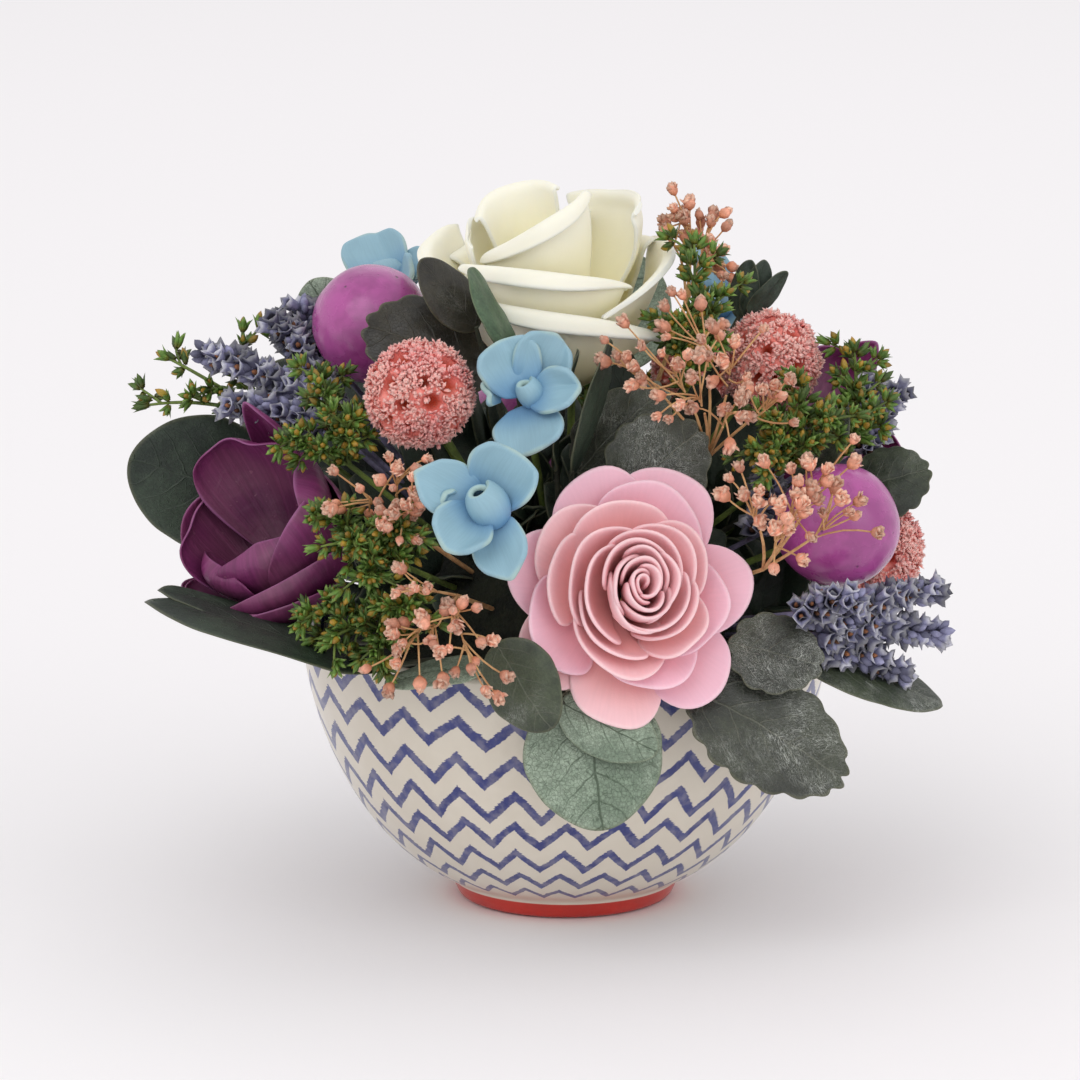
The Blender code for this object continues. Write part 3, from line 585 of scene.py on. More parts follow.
def glaze_material():
    """Beige glaze with brushed zigzag rows in blue over a red foot."""
    tree, shader = start_material("bowl_glaze", 0.3, Coat_Weight=0.3, Coat_Roughness=0.15)
    centred = add(tree, "Mapping", {0: surface_point(tree), 1: (-SHIFT.x * MM, 0, 0)})
    x, y, z = split(centred)
    height = z * (1 / MM)
    drift = height * radians(-0.08) + radians(2.9)
    turns = (calc("ARCTAN2", x, y * -1.0) + drift) * (ZIGZAGS / (2 * pi))
    saw = calc("FRACT", turns + (grainy(tree, 70.0, 1.0) - 0.5) * 0.22 + 100.0)
    fall = abs(saw - 0.5) * -2.0 + 1.0
    chalk = grainy(tree, 1.0, 3.0, add(tree, "Mapping", {0: centred, 3: (500.0, 500.0, 2400.0)})) - 0.52
    height = height + (grainy(tree, 130.0) - 0.5) * 1.2
    cover = 0.0
    for peak, valley, brush in ROWS:
        above = height - (fall * (valley - peak) + (peak - brush / 2))
        edge = brush * BRUSH_REACH
        upper = span(above + chalk * (brush * 0.8), edge, edge - brush * 0.14)
        lower = span(above + chalk * (brush * 0.35), -edge, brush * 0.12 - edge)
        cover = largest(upper * lower, cover)
    line = cover * span(grainy(tree, 320.0, 3.0), 0.3, 0.62, 0.82, 1.0)
    blue = mottled(tree, rgb(38, 47, 114), rgb(54, 64, 128), 260.0, 0.8)
    beige = mottled(tree, rgb(220, 212, 197), rgb(211, 202, 186), 30.0, 0.6)
    red = mottled(tree, rgb(196, 44, 30), rgb(178, 34, 24), 80.0, 0.7)
    foot = span(z, (FOOT_BAND + 0.12) * MM, (FOOT_BAND - 0.12) * MM)
    colour = blend(foot, blend(line, beige, blue), red)
    finish_material(shader, colour, line * 0.4 + grainy(tree, 120.0), 0.0002, 0.25)


def petal_material(name, base, tip, edge, roughness, streak, reach, **fixed):
    """A petal that passes from its base colour to its tip colour, with a paler edge."""
    tree, shader = start_material(name, roughness, **fixed)
    streaks, up, side = use(tree, petal_streaks, Count=46.0, Length=2.4)
    rim = span(largest(up, side), 0.93, 1.0)
    colour = blend(rim * 0.8, blend(span(up, *reach), base, tip), edge)
    dim = span(streaks, 0.3, 0.7, 1.0 - streak, 1.0)
    patch = span(grainy(tree, 70.0), 0.3, 0.7, 0.97 - streak * 0.4, 1.0)
    height = streaks * min(streak * 4, 1.0) + grainy(tree, 1400.0) * 0.4
    finish_material(shader, dimmed(colour, dim * patch), height, 0.0002, 0.4)


def plum_material():
    """Papery plum petals, darker towards the foot, where they lie deep in the bloom: painted shade. Brighter
    towards the edge.
    """
    tree, shader = start_material("plum_petals", 0.45)
    streaks, up, side = use(tree, petal_streaks, Count=30.0, Length=1.6)
    # Dark at the petals' foot, deep in the bloom: painted shade
    colour = blend(span(up, 0.15, 0.8), rgb(80, 26, 60), rgb(124, 48, 100))
    dusk = span(grainy(tree, 60.0), 0.42, 0.66)
    colour = blend(dusk * 0.5, colour, rgb(130, 74, 100))
    colour = dimmed(colour, span(streaks, 0.35, 0.7, 0.82, 1.08))
    rim = span(largest(up, side), 0.955, 1.0)
    colour = blend(rim * 0.6, colour, rgb(166, 102, 152))
    specks = span(grainy(tree, 520.0, 3.0), 0.68, 0.74)
    colour = blend(specks * 0.5, colour, rgb(150, 96, 120))
    finish_material(shader, colour, streaks + grainy(tree, 210.0, 3.0, Distortion=0.8), 0.0005, 0.5)


def skin_material():
    """Waxed magenta skin with small dark pits and dull patches."""
    tree, shader = start_material("magenta_skin", 0.34, Coat_Weight=0.35, Coat_Roughness=0.2)
    skin = mottled(tree, rgb(174, 78, 150), rgb(144, 60, 124), 55.0, 0.8)
    spots = span(cells(surface_point(tree), 330.0), 0.1, 0.22, 1.0, 0.0)
    pits = spots * span(grainy(tree, 140.0), 0.55, 0.66)
    link(span(grainy(tree, 160.0, 3.0), 0.35, 0.7, 0.22, 0.42), shader.inputs["Roughness"])
    height = grainy(tree, 240.0, 3.0) - pits * 1.5
    finish_material(shader, blend(pits, skin, rgb(86, 30, 74)), height, 0.0004, 0.45)


def sponge_material():
    """Coral pulp: pale tufts over a darker orange in the pits and at the tufts' feet, which is painted shade.
    The zone runs from the pits to the tips.
    """
    tree, shader = start_material("coral_sponge", 0.85, Sheen_Weight=0.2)
    zone = named(tree, "zone")
    # Darker orange at low zones, in the pits and among the tufts' feet: painted shade
    colour = blend(span(zone, 0.0, 0.4), rgb(206, 92, 54), rgb(250, 150, 138))
    colour = blend(span(zone, 0.35, 0.7), colour, rgb(255, 178, 168))
    colour = blend(span(zone, 0.7, 1.0), colour, rgb(255, 208, 198))
    patch = span(grainy(tree, 90.0), 0.4, 0.65)
    pinker = blend(1.0, colour, rgb(252, 226, 234), "MULTIPLY")
    finish_material(shader, blend(patch * 0.7, colour, pinker), grainy(tree, 1500.0, 3.0), 0.0006, 0.8)


def floret_material(name, base, middle, tip, roughness, amount, seed=None):
    """Small repeats: the zone gives the colour from base to tip, and past 1.5 that of a seed.
    The tint changes it from copy to copy."""
    tree, shader = start_material(name, roughness)
    zone = named(tree, "zone")
    colour = blend(span(zone, 0.0, 0.5), base, middle)
    colour = blend(span(zone, 0.5, 1.0), colour, tip)
    if seed:
        colour = blend(span(zone, 1.2, 1.6), colour, seed)
    darker = span(named(tree, "tint"), 0.0, 1.0, 1.0 - amount, 1.0)
    speck = span(grainy(tree, 700.0, 3.0), 0.35, 0.7, 0.8, 1.08)
    finish_material(shader, dimmed(colour, darker * speck), grainy(tree, 1100.0, 3.0), 0.0003, 0.6)


def stalk_material(name, first, second):
    tree, shader = start_material(name, 0.7)
    finish_material(shader, mottled(tree, first, second, 150.0, 0.9), grainy(tree, 900.0), 0.0002, 0.5)


def shade_moss_material():
    tree, shader = start_material("painted_shade_moss", 0.95)
    # Near black, as painted shade deep among the stems
    colour = mottled(tree, rgb(14, 18, 12), rgb(32, 36, 22), 120.0, 1.0)
    finish_material(shader, colour, grainy(tree, 500.0, 4.0), 0.002, 1.0)


def leaf_material(name, dark, light, vein, net_strength, rib_strength, frost_amount, roughness, seed=0.0):
    """A preserved leaf: mottled green, net of veins and silvery frost that clings to it."""
    tree, shader = start_material(name, roughness, Coat_Weight=0.08, Coat_Roughness=0.35)
    ribs, net, hairs, rim = use(tree, leaf_veins, Pairs=5.5, Net_Scale=34.0)
    fine = span(grainy(tree, 1300.0), 0.35, 0.7, 0.78, 1.12)
    colour = dimmed(mottled(tree, dark, light, 42.0, 0.9), fine)
    colour = blend(net * net_strength, colour, vein)
    colour = blend(ribs * rib_strength, colour, vein)
    frost, cover = use(tree, silver_frost, Amount=frost_amount, Seed=seed)
    sparse = span(grainy(tree, 230.0, 3.0), 0.42, 0.62, 0.2, 1.0)
    white = largest(frost, hairs * cover * sparse)
    colour = blend(white * 0.72, colour, rgb(204, 208, 200))
    colour = blend(rim * 0.3, colour, rgb(128, 128, 96))
    height = ribs + net * 0.35 + grainy(tree, 500.0, 3.0) * 0.5
    finish_material(shader, colour, height, 0.0005, 0.55)


def make_materials():
    glaze_material()
    petal_material("cream_foam", rgb(247, 239, 192), rgb(247, 244, 226), rgb(236, 237, 228), 0.6, 0.0,
                   (0.1, 0.62), Subsurface_Weight=0.15, Subsurface_Radius=(0.005, 0.004, 0.0025),
                   Subsurface_Scale=1.0)
    soft = {"Subsurface_Weight": 0.12, "Subsurface_Radius": (0.004, 0.002, 0.002), "Subsurface_Scale": 1.0}
    petal_material("pink_shaving", rgb(250, 186, 184), rgb(250, 202, 207), rgb(252, 212, 215), 0.62, 0.03,
                   (0.35, 0.95), **soft)
    petal_material("mauve_shaving", rgb(246, 180, 192), rgb(247, 196, 212), rgb(250, 208, 220), 0.62, 0.03,
                   (0.35, 0.95), **soft)
    plum_material()
    # Sky petals: the darker blue at the foot, deep in the flower, is painted shade, and the lighter tip is
    # painted light
    petal_material("sky_petals", rgb(106, 152, 190), rgb(146, 183, 198), rgb(174, 200, 192), 0.6, 0.06,
                   (0.05, 0.7))
    skin_material()
    sponge_material()
    # Lavender: near black inside the cups, painted shade over the flower's darker violet; whitish at the
    # rims, its grey frosting with a painted highlight
    floret_material("lavender_florets", rgb(30, 26, 54), rgb(146, 146, 180), rgb(228, 228, 238), 0.65, 0.68,
                    rgb(150, 96, 60))
    floret_material("herb_bracts", rgb(132, 124, 44), rgb(98, 136, 52), rgb(134, 164, 78), 0.55, 0.6)
    floret_material("herb_buds", rgb(104, 124, 40), rgb(178, 150, 48), rgb(172, 130, 48), 0.5, 0.4)
    floret_material("peach_florets", rgb(222, 144, 106), rgb(244, 172, 144), rgb(252, 208, 182), 0.75, 0.34)
    stalk_material("tan_stalks", rgb(212, 170, 118), rgb(184, 134, 90))
    stalk_material("green_stalks", rgb(112, 132, 58), rgb(78, 94, 42))
    stalk_material("grey_stalks", rgb(120, 116, 144), rgb(70, 66, 84))
    stalk_material("leaf_stalks", rgb(70, 74, 58), rgb(50, 52, 42))
    leaf_material("dark_leaf", rgb(28, 42, 32), rgb(52, 68, 52), rgb(70, 84, 64), 0.06, 0.2, 0.06, 0.5)
    leaf_material("umber_leaf", rgb(30, 28, 22), rgb(54, 50, 36), rgb(78, 76, 60), 0.1, 0.3, 0.14, 0.36, 0.6)
    leaf_material("frosted_leaf", rgb(38, 48, 36), rgb(68, 78, 56), rgb(120, 124, 106), 0.12, 0.35, 0.6, 0.42,
                  0.3)
    leaf_material("silver_leaf", rgb(36, 40, 32), rgb(60, 66, 50), rgb(118, 120, 104), 0.16, 0.35, 0.8, 0.42,
                  0.9)
    leaf_material("pale_leaf", rgb(120, 138, 118), rgb(162, 178, 158), rgb(56, 74, 52), 0.62, 0.75, 0.12, 0.5)
    leaf_material("green_leaf", rgb(60, 88, 60), rgb(92, 120, 86), rgb(48, 66, 46), 0.3, 0.5, 0.12, 0.5)
    shade_moss_material()


# The bowl
def outer_radius(z):
    return RIM_RADIUS * (1 - (1 - z / BOWL_HEIGHT) ** 1.7) ** 0.385


def turned(profile, name, material, steps):
    """Spins an outline of (radius, height) round the bowl's axis."""
    mesh = bpy.data.meshes.new(name)
    edges = [(i, i + 1) for i in range(len(profile) - 1)]
    mesh.from_pydata([to_world((r, 0, z)) for r, z in profile], edges, [])
    obj = new_object(name, mesh)
    pick(obj)
    bpy.ops.object.mode_set(mode="EDIT")
    bpy.ops.mesh.select_all(action="SELECT")
    bpy.ops.mesh.spin(steps=steps, angle=2 * pi, center=to_world((0, 0, 0)), axis=(0, 0, 1))
    bpy.ops.mesh.remove_doubles(threshold=1e-5)
    bpy.ops.mesh.normals_make_consistent(inside=False)
    bpy.ops.object.mode_set(mode="OBJECT")
    coat(obj, material)
    smooth_shade(obj)
    return obj


def make_bowl():
    profile = [(0, 1.6), (24.6, 1.6), (25.4, 1.2), (26.2, 0.3), (26.8, 0.05), (29.2, 0.05), (30.2, 0.4),
               (FOOT_RADIUS + 0.4, 1.2), (31.8, 3.2), (32.2, FOOT_BAND), (32.7, 5.4), (33.6, 6.1)]
    for i in range(45):
        z = WALL_FOOT + (WALL_TOP - WALL_FOOT) * (i / 44) ** 1.25
        profile.append((outer_radius(z), z))
    for i in range(9):
        a = pi * i / 8
        profile.append((RIM_RADIUS - 2.0 + 1.9 * cos(a), 78.9 + 1.2 * sin(a)))
    profile += [(outer_radius(z) - WALL, z) for z in (70, 60, 48, 36, 24, 15, 9)]
    profile += [(18.0, 6.4), (0, 5.8)]
    stand_for(turned(profile, "glazed_bowl", "bowl_glaze", BOWL_STEPS), "bowl")


# Dark leaves, painted shade, that close the gaps between the stems, as base, tip and width
GAP_LEAVES = [((46, -6, 116), (49, -2, 147), 20), ((54, -24, 86), (60, -16, 113), 16),
              ((-54, 2, 108), (-59, 6, 134), 16), ((13, -24, 138), (17, -20, 162), 13),
              ((36, 0, 122), (38, 4, 150), 18)]


def make_foam():
    """The foam under the flowers, with a bumpy moss-like top, coloured near black: painted shade deep among
    the stems. Short dark leaves pinned over it stand for that shade as well.
    """
    profile = [(0, 6.5), (17.0, 7.2)]
    for z in (14.0, 24.0, 34.0, 50.0, 66.0, 74.0):
        profile.append((outer_radius(z) - WALL - 1.2 * (1 - z / 80) - 1.4, z))
    profile.append((68.0, 79.0))
    for i in range(11):
        a = radians(8 + 82 * i / 11)
        profile.append((FOAM_RADIUS * SHADE_BED_REACH * cos(a), HEART.z + FOAM_RISE * SHADE_BED_REACH * sin(a)))
    profile.append((0, HEART.z + FOAM_RISE * SHADE_BED_REACH))
    body = turned(profile, "painted_shade_foam", "painted_shade_moss", FOAM_STEPS)
    for vert in body.data.vertices:
        p = vert.co / MM - SHIFT
        if p.z > 79.5:
            bump = 1.6 * noise.noise(p * 0.16) + 1.0 * noise.noise(p * 0.5)
            vert.co = to_world(p + away_from_heart(p) * bump)
    rng = random.Random(5)
    blades = []

    def pin(foot, tip, width, facing, bend):
        blades.append(leaf_blade(foot, tip, width, facing, bend, 0.2, "dark_leaf", len(blades), 8, 4))

    # Dark leaves on the dome and standing off it: painted shade between the stems
    while len(blades) < SHADE_LEAVES:
        d = radial(rng.uniform(0, 360), rng.uniform(6, 80))
        foot = HEART + d * (foam_reach(d) - 2)
        lean = drawn(rng, (-1, 1), (-1, 1), (-0.2, 0.7)) * 0.9
        tip = foot + (d + lean).normalized() * rng.uniform(14, 24)
        pin(foot, tip, rng.uniform(9, 15), d + lean * 0.3 + Vector((0, 0, 0.2)), rng.uniform(0.3, 0.8))
    while len(blades) < ALL_SHADE_LEAVES:
        d = radial(rng.uniform(0, 360), rng.uniform(8, 75))
        foot = HEART + d * (foam_reach(d) + rng.uniform(3, 9))
        lean = drawn(rng, (-1, 1), (-1, 1), (-0.3, 0.6)) * 0.7
        tip = foot + (d + lean).normalized() * rng.uniform(18, 27)
        if is_free(tip) and is_free(foot.lerp(tip, 0.6)):
            pin(foot, tip, rng.uniform(13, 19), Vector((rng.uniform(-1, 1), -0.7, 0.7)) + d,
                rng.uniform(0.2, 0.6))
    for base, tip, width in GAP_LEAVES:
        pin(base, tip, width, (0.1, -1, 0.2), 0.3)
    leaves = join(blades, "painted_shade_leaves")
    thicken(leaves, SHADE_LEAF, 0)
    stand_for(join([body, leaves], "painted_shade_foam"), "floral_foam")


# Blooms
def petal(centre, angle, half, radii, heights, drop=0.22, spiral=0.0, point=0.0, roll=0.0, roll_size=2.4,
          ripple=0.5, seed=0.0, lean=0.0, sag=0.0, flap=0.0, oval=0.0):
    """The middle surface of a petal that wraps round a bloom's axis. Its upper edge may rise to one side
    (lean), hang at both sides (sag), come to a point, or roll outwards and hang down as a flap."""
    middle = radians(angle)
    half = radians(half)
    flat = 0.66 if roll else 1.0
    rise = Vector((smooth(radii, 1.0) - smooth(radii, 0.92), smooth(heights, 1.0) - smooth(heights, 0.92)))
    rise.normalize()

    def place(u, v):
        spread = 0.45 + 0.55 * sin(min(u * 1.5, 1.0) * pi / 2)
        a = middle + half * v * spread
        top = u * (1 - drop * abs(v) ** 2.4 * u)
        t = min(top / flat, 1.0)
        radius = smooth(radii, t) + spiral * v * t
        height = smooth(heights, t) + point * max(0.0, 1 - abs(v) * 2.2) * u ** 3
        height += (lean * v - sag * v * v) * t * t
        folded = max(0.0, top - flat) / 0.34
        turn = roll * min(folded * 2, 1.0)
        size = roll_size * (1 - 0.6 * v * v + 0.25 * noise.noise(Vector((v * 1.3, seed, 4.0))))
        fray = 1 - 0.75 * v * v + 0.3 * noise.noise(Vector((v, seed, 8.0)))
        hang = flap * max(0.0, folded - 0.5) * 2 * fray
        up = size * sin(turn) + hang * cos(roll)
        out = size * (1 - cos(turn)) + hang * sin(roll)
        radius += up * rise.x + out * rise.y
        height += up * rise.y - out * rise.x
        wave = noise.noise(Vector((v * 1.6, u * 1.5, seed))) * ripple * u
        radius *= 1 + oval * cos(2 * a)
        return centre.at(a, max(radius + wave * 1.5, 0.6), height + wave)

    return place


def finish_bloom(blades, name, node, thick, base, stalk="green_stalks"):
    bloom = join(blades, name)
    thicken(bloom, thick)
    finish_piece([bloom], [tapered(bowed(root_of(base), base, 5), STEM, STEM)], name, node, stalk)


WHITE_BASE = Vector((1.0, -2.0, 151.0))
WHITE_AXIS = Vector((-0.24, -0.06, 0.97))
# angle, half, radii, heights, lean, sag, drop, roll, roll size, flap, point
WHITE_PETALS = [
    (196, 76, (3, 8, 10.5, 11.5, 12), (10, 24, 39, 49, 53.0), -1.0, 2.0, 0.08, 2.6, 1.5, 1.5, 0.0),
    (-5, 80, (3, 12, 15.5, 16.5, 16.0), (8, 20, 33, 41, 45.5), 6.5, 0.5, 0.05, 3.0, 1.7, 3.2, 0.0),
    (116, 46, (4, 15, 26, 30.5, 31), (5, 17, 29, 38.5, 43.0), 0.5, 0.5, 0.08, 1.3, 2.4, 0.0, 0.0),
    (-109, 44, (5, 13, 17, 18.0, 17.5), (5, 18, 33, 43, 47.0), 0.0, 2.0, 0.35, 0.6, 2.0, 0.0, 3.0),
    (-2, 58, (6, 19, 24.5, 26.0, 25.0), (1, 12, 24, 32, 36.0), -8.5, 4.0, 0.1, 3.0, 1.8, 4.2, 0.0),
    (72, 46, (6, 20, 28, 32, 34.0), (0, 9, 18, 24, 26.5), 4.0, 1.0, 0.3, 1.3, 2.2, 0.0, 0.0),
    (8, 64, (6, 22, 29, 31, 30.5), (-2, 6, 14, 20, 23.0), -16.0, 4.5, 0.1, 3.0, 1.9, 4.0, 0.0),
    (-86, 46, (6, 18, 25, 28, 29.5), (0, 13, 27, 37, 42), -5.0, 0.0, 0.35, 2.0, 1.8, 1.0, 1.5),
    (196, 54, (5, 15, 21, 24, 27), (4, 18, 31, 38, 40), 0.0, 0.0, 0.22, 2.4, 2.0, 2.0, 0.0),
    (-160, 60, (6, 20, 28, 33, 36), (0, 9, 19, 27, 28), 0.0, 0.0, 0.25, 1.8, 2.2, 1.0, 0.0),
    (150, 44, (6, 20, 27, 31, 34), (0, 9, 20, 28, 30), 0.0, 0.0, 0.25, 1.8, 2.2, 1.0, 0.0),
]


def make_white_rose():
    centre = Frame(WHITE_BASE, WHITE_AXIS, (0, -1, 0))
    core = petal(centre, 200, 170, (3, 6, 7.5, 6.5, 3.5), (8, 20, 32, 39, 42), spiral=1.5)
    blades = [blade(core, 12, 18, "cream_foam")]
    for k, (angle, half, radii, heights, lean, sag, drop, roll, size, flap, point) in enumerate(WHITE_PETALS):
        shape = petal(centre, angle, half, radii, heights, drop, 1.5, point, roll, size, 1.0, k * 3.7, lean,
                      sag, flap)
        blades.append(blade(shape, 21, 13, "cream_foam"))
    finish_bloom(blades, "white_foam_rose", "white_rose", FOAM_PETAL, WHITE_BASE - WHITE_AXIS * 3)


PINK_BASE = Vector((15.5, -69.0, 102.0))
PINK_AXIS = radial(12, 22)
PINK_OPEN = radians(60)
# count, turn, half, radii, heights, spiral, drop
PINK_RINGS = [
    (1, 20, 175, (0.6, 1.5, 2.0), (8, 21, 32.0), 1.1, 0.1),
    (2, 80, 112, (1.4, 3.4, 4.3), (8, 21, 32.5), 1.1, 0.15),
    (2, -20, 108, (2.2, 5.6, 6.6), (8, 21, 32.0), 1.1, 0.2),
    (3, 75, 80, (3.2, 7.8, 8.9), (8, 20, 31.0), 1.1, 0.25),
    (3, 20, 80, (4.2, 9.8, 11.0), (8, 19.5, 29.0), 1.3, 0.3),
    (3, 95, 76, (5, 12.4, 15.2), (6, 17, 26.5), 2.0, 0.4),
    (4, 45, 62, (5.5, 15.0, 19.4), (5, 14, 23.0), 2.2, 0.45),
    (5, 8, 50, (6, 18.2, 24.8), (3, 11, 18.5), 2.2, 0.5),
    (5, 44, 46, (6, 21.5, 30.6), (1, 7.5, 12.5), 2.0, 0.5),
    (7, 16, 33, (7, 25, 37.6), (-2, 4, 6.5), 1.8, 0.5),
]


def make_pink_rose():
    centre = Frame(PINK_BASE, PINK_AXIS, (0, 0, 1))
    blades = []
    for k, (count, turn, half, radii, heights, spiral, drop) in enumerate(PINK_RINGS):
        rng = random.Random(40 + k)
        opened = 3 < k < 9
        loose = 1.0 if opened else 0.5
        for i in range(count):
            angle = turn + 360 * i / count + rng.uniform(-11, 11) * loose
            side = cos(radians(angle) - PINK_OPEN) if opened else 0.0
            size = rng.uniform(0.93, 1.0) * (1 + 0.08 * side)
            sink = rng.uniform(0.95, 1.02)
            shape = petal(centre, angle, half * rng.uniform(0.85, 1.15), [r * size for r in radii],
                          [h * sink - 1.2 * side for h in heights], drop * rng.uniform(0.7, 1.2), spiral,
                          ripple=0.5 + 0.12 * k, seed=k * 9.1 + i, lean=rng.uniform(-2, 2) * loose,
                          oval=0.14 if k < 5 else 0.03)
            finish = "mauve_shaving" if k > 7 and rng.random() < 0.7 else "pink_shaving"
            blades.append(blade(shape, 8, 11, finish, 0.25))
    finish_bloom(blades, "pink_shaving_rose", "pink_rose", PINK_PETAL, PINK_BASE - PINK_AXIS * 3,
                 "tan_stalks")


# angle, half, radii, heights, drop, point, lean
PLUM_PETALS = [
    (158, 30, (2, 14, 21.5, 21, 16), (2, 14, 32, 46, 53), 0.75, 2.5, 0.0),
    (180, 60, (2, 13, 19.0, 19.0, 13), (2, 14, 31, 43, 48.0), 0.3, 0.0, 2.0),
    (102, 56, (3, 15, 21.5, 22.5, 16), (0, 9, 22, 32, 38), 0.4, 0.0, 2.0),
    (-112, 54, (3, 15, 21.5, 23, 20), (0, 9, 21, 29, 32), 0.4, 0.0, 0.0),
    (12, 60, (2, 12, 17, 17, 12), (2, 9, 18, 25, 28), 0.35, 1.0, 1.0),
    (-52, 50, (2, 13, 19, 19.5, 16), (1, 9, 17, 23, 25), 0.4, 0.0, -1.0),
    (62, 52, (3, 14, 20.5, 21, 17), (0, 8, 18, 27, 32), 0.4, 0.0, 3.0),
    (22, 62, (4, 17, 24, 25.5, 22.5), (-1, 5, 12, 17, 20), 0.4, 0.0, 1.0),
    (-38, 64, (4, 18, 25.5, 27.5, 26), (-1, 4, 10, 15, 18), 0.4, 0.0, -1.0),
    (-10, 70, (4, 17.5, 25.5, 28.5, 28), (-1, 3.5, 9, 13.5, 16.5), 0.35, 0.0, 0.0),
    (-60, 46, (4, 18, 26, 29.5, 29.0), (-1.5, 3, 9, 14, 18), 0.4, 0.0, 0.0),
    (150, 60, (4, 17, 23.5, 24, 20), (-1, 6, 17, 28, 34), 0.4, 0.0, 0.0),
    (-150, 60, (4, 17, 23.5, 24, 20), (-1, 6, 17, 28, 34), 0.4, 0.0, 0.0),
]
# node, base, axis, direction of angle 0, size
PLUM_BLOOMS = [
    ("purple_bloom_left", (-74.5, -28.0, 93.0), (-0.40, -0.30, 0.80), (-0.25, -0.9, -0.2), 1.0),
    ("purple_bloom_right", (60.0, 29.0, 104.0), (0.58, 0.06, 0.81), (0.6, -0.8, 0.0), 1.04),
]


def make_plum_blooms():
    for n, (node, base, axis, towards, size) in enumerate(PLUM_BLOOMS):
        centre = Frame(base, axis, towards)
        blades = []
        for k, (angle, half, radii, heights, drop, point, lean) in enumerate(PLUM_PETALS):
            shape = petal(centre, angle, half, [r * size for r in radii], [h * size for h in heights], drop,
                          0.6, point, ripple=2.4, seed=n * 50 + k * 3.1, lean=lean)
            blades.append(blade(shape, 12, 12, "plum_petals", 0.35))
        finish_bloom(blades, node.replace("purple_bloom", "plum_flower"), node, PLUM_PETAL,
                     centre.centre - centre.axis * 2.5)


# node, centre, facing, bud of (size, across, up), petals of (angle, length, width, fold, crease, cup, point)
BLUE_BLOOMS = [
    ("blue_bloom_upper", (-11.4, -60.0, 157.0), (-0.05, -0.86, 0.5), (0.62, 3.0, 0.0), (
        (118, 16.5, 18, 0.15, 4.5, 1.5, 0.02), (64, 17.5, 15, 0.45, 5.0, 1.0, 0.12),
        (2, 15, 13, -0.3, 5.5, 1.0, 0.1), (-82, 17, 19, 0.5, 3.5, 1.5, 0.05))),
    ("blue_bloom_lower", (-22.5, -95.0, 134.0), (-0.1, -0.9, 0.42), (1.0, 4.0, -2.0), (
        (157, 17, 15.5, -0.2, 3.0, 1.0, 0.25), (57, 17.5, 19, 0.7, 2.0, 6.0, 0.0),
        (236, 16, 16, -0.5, 2.5, 5.0, 0.1), (-66, 19, 15, 0.2, 3.0, 1.0, 0.18))),
    ("blue_bloom_back_left", (-50.0, 26.0, 171.0), (-0.45, -0.3, 0.8), (0.85, 0.0, 0.0), (
        (150, 20, 18, 0.2, 4.0, 1.5, 0.1), (75, 15, 15, -0.3, 3.0, 2.0, 0.1),
        (15, 12, 13, 0.3, 3.0, 2.0, 0.1), (225, 15, 15, 0.1, 3.0, 2.0, 0.1))),
    ("blue_bloom_back_right", (45.0, 20.0, 167.0), (0.3, -0.45, 0.8), (0.7, 0.0, 0.0), (
        (95, 17, 14, 0.2, 4.0, 1.5, 0.1), (20, 11, 12, -0.3, 3.0, 2.0, 0.1),
        (165, 12, 13, 0.3, 3.0, 2.0, 0.1), (250, 9, 11, 0.1, 3.0, 2.0, 0.1))),
]


def carved_petal(base, out, normal, length, width, fold, crease, cup, point, seed):
    """A thick petal, cupped at its sides, that is folded along a line off its middle."""
    side = out.cross(normal).normalized()

    def place(u, v):
        uneven = 1 + 0.07 * noise.noise(Vector((u * 3.0, 1.0 if v > 0 else 0.0, seed)))
        wide = width / 2 * (0.42 + 0.64 * sin(pi * (0.08 + 0.66 * u))) * uneven
        rise = 1.6 * sin(u * pi * 0.6) + cup * v * v * (0.35 + 0.65 * sin(pi * u * 0.8))
        bent = v - fold
        rise += crease * (abs(bent) - 0.25 * bent) * (0.3 + 0.7 * u)
        rise += cup * 0.9 * max(0.0, u - 0.6)
        rise += 0.7 * noise.noise(Vector((u * 2.6, v * 1.8, seed)))
        reach = length * u * (1 + point * (1 - abs(v)) * u)
        return base + out * reach + side * wide * v + normal * rise

    return place


def make_blue_blooms():
    for n, (node, centre, facing, (bud_size, across, up), petals) in enumerate(BLUE_BLOOMS):
        spread = Frame(centre, facing, (0, 0, 1))
        middle = spread.centre
        face = spread.axis
        upper = spread.x
        right = -spread.y
        blades = []
        for k, (angle, length, width, fold, crease, cup, point) in enumerate(petals):
            a = radians(angle)
            out = right * cos(a) + upper * sin(a)
            lift = 0.34 - 0.14 * (k % 2)
            start = middle + out * 1.2 - face * (2.4 * (k % 2) + 2.0)
            shape = carved_petal(start, (out + face * lift).normalized(), (face - out * lift).normalized(),
                                 length, width, fold, crease, cup, point, n * 20 + k * 2.3)
            blades.append(blade(shape, 12, 12, "sky_petals", 0.62))
        bud = Frame(middle - face * 2.5 + right * across + upper * up,
                    face * 0.75 - right * 0.45 + upper * 0.35, upper)
        radii = [r * bud_size for r in (3.6, 4.9, 4.7, 3.4, 1.2)]
        heights = [h * bud_size for h in (0, 3.6, 7.2, 10.4, 12.4)]
        shape = petal(bud, 150, 205, radii, heights, 0.3, 1.2, ripple=0.3, seed=n)
        blades.append(blade(shape, 9, 22, "sky_petals"))
        strip = Frame(middle - face * 1.5 - right * 3.0, face * 0.8 - right * 0.3, upper)
        shape = petal(strip, 80, 46, (4.4, 5.2, 4.9), (0, 5, 9.0), 0.35, ripple=1.6, seed=n + 9)
        blades.append(blade(shape, 8, 8, "sky_petals"))
        finish_bloom(blades, node.replace("blue_bloom", "carved_flower"), node, SKY_PETAL, middle - face * 5)


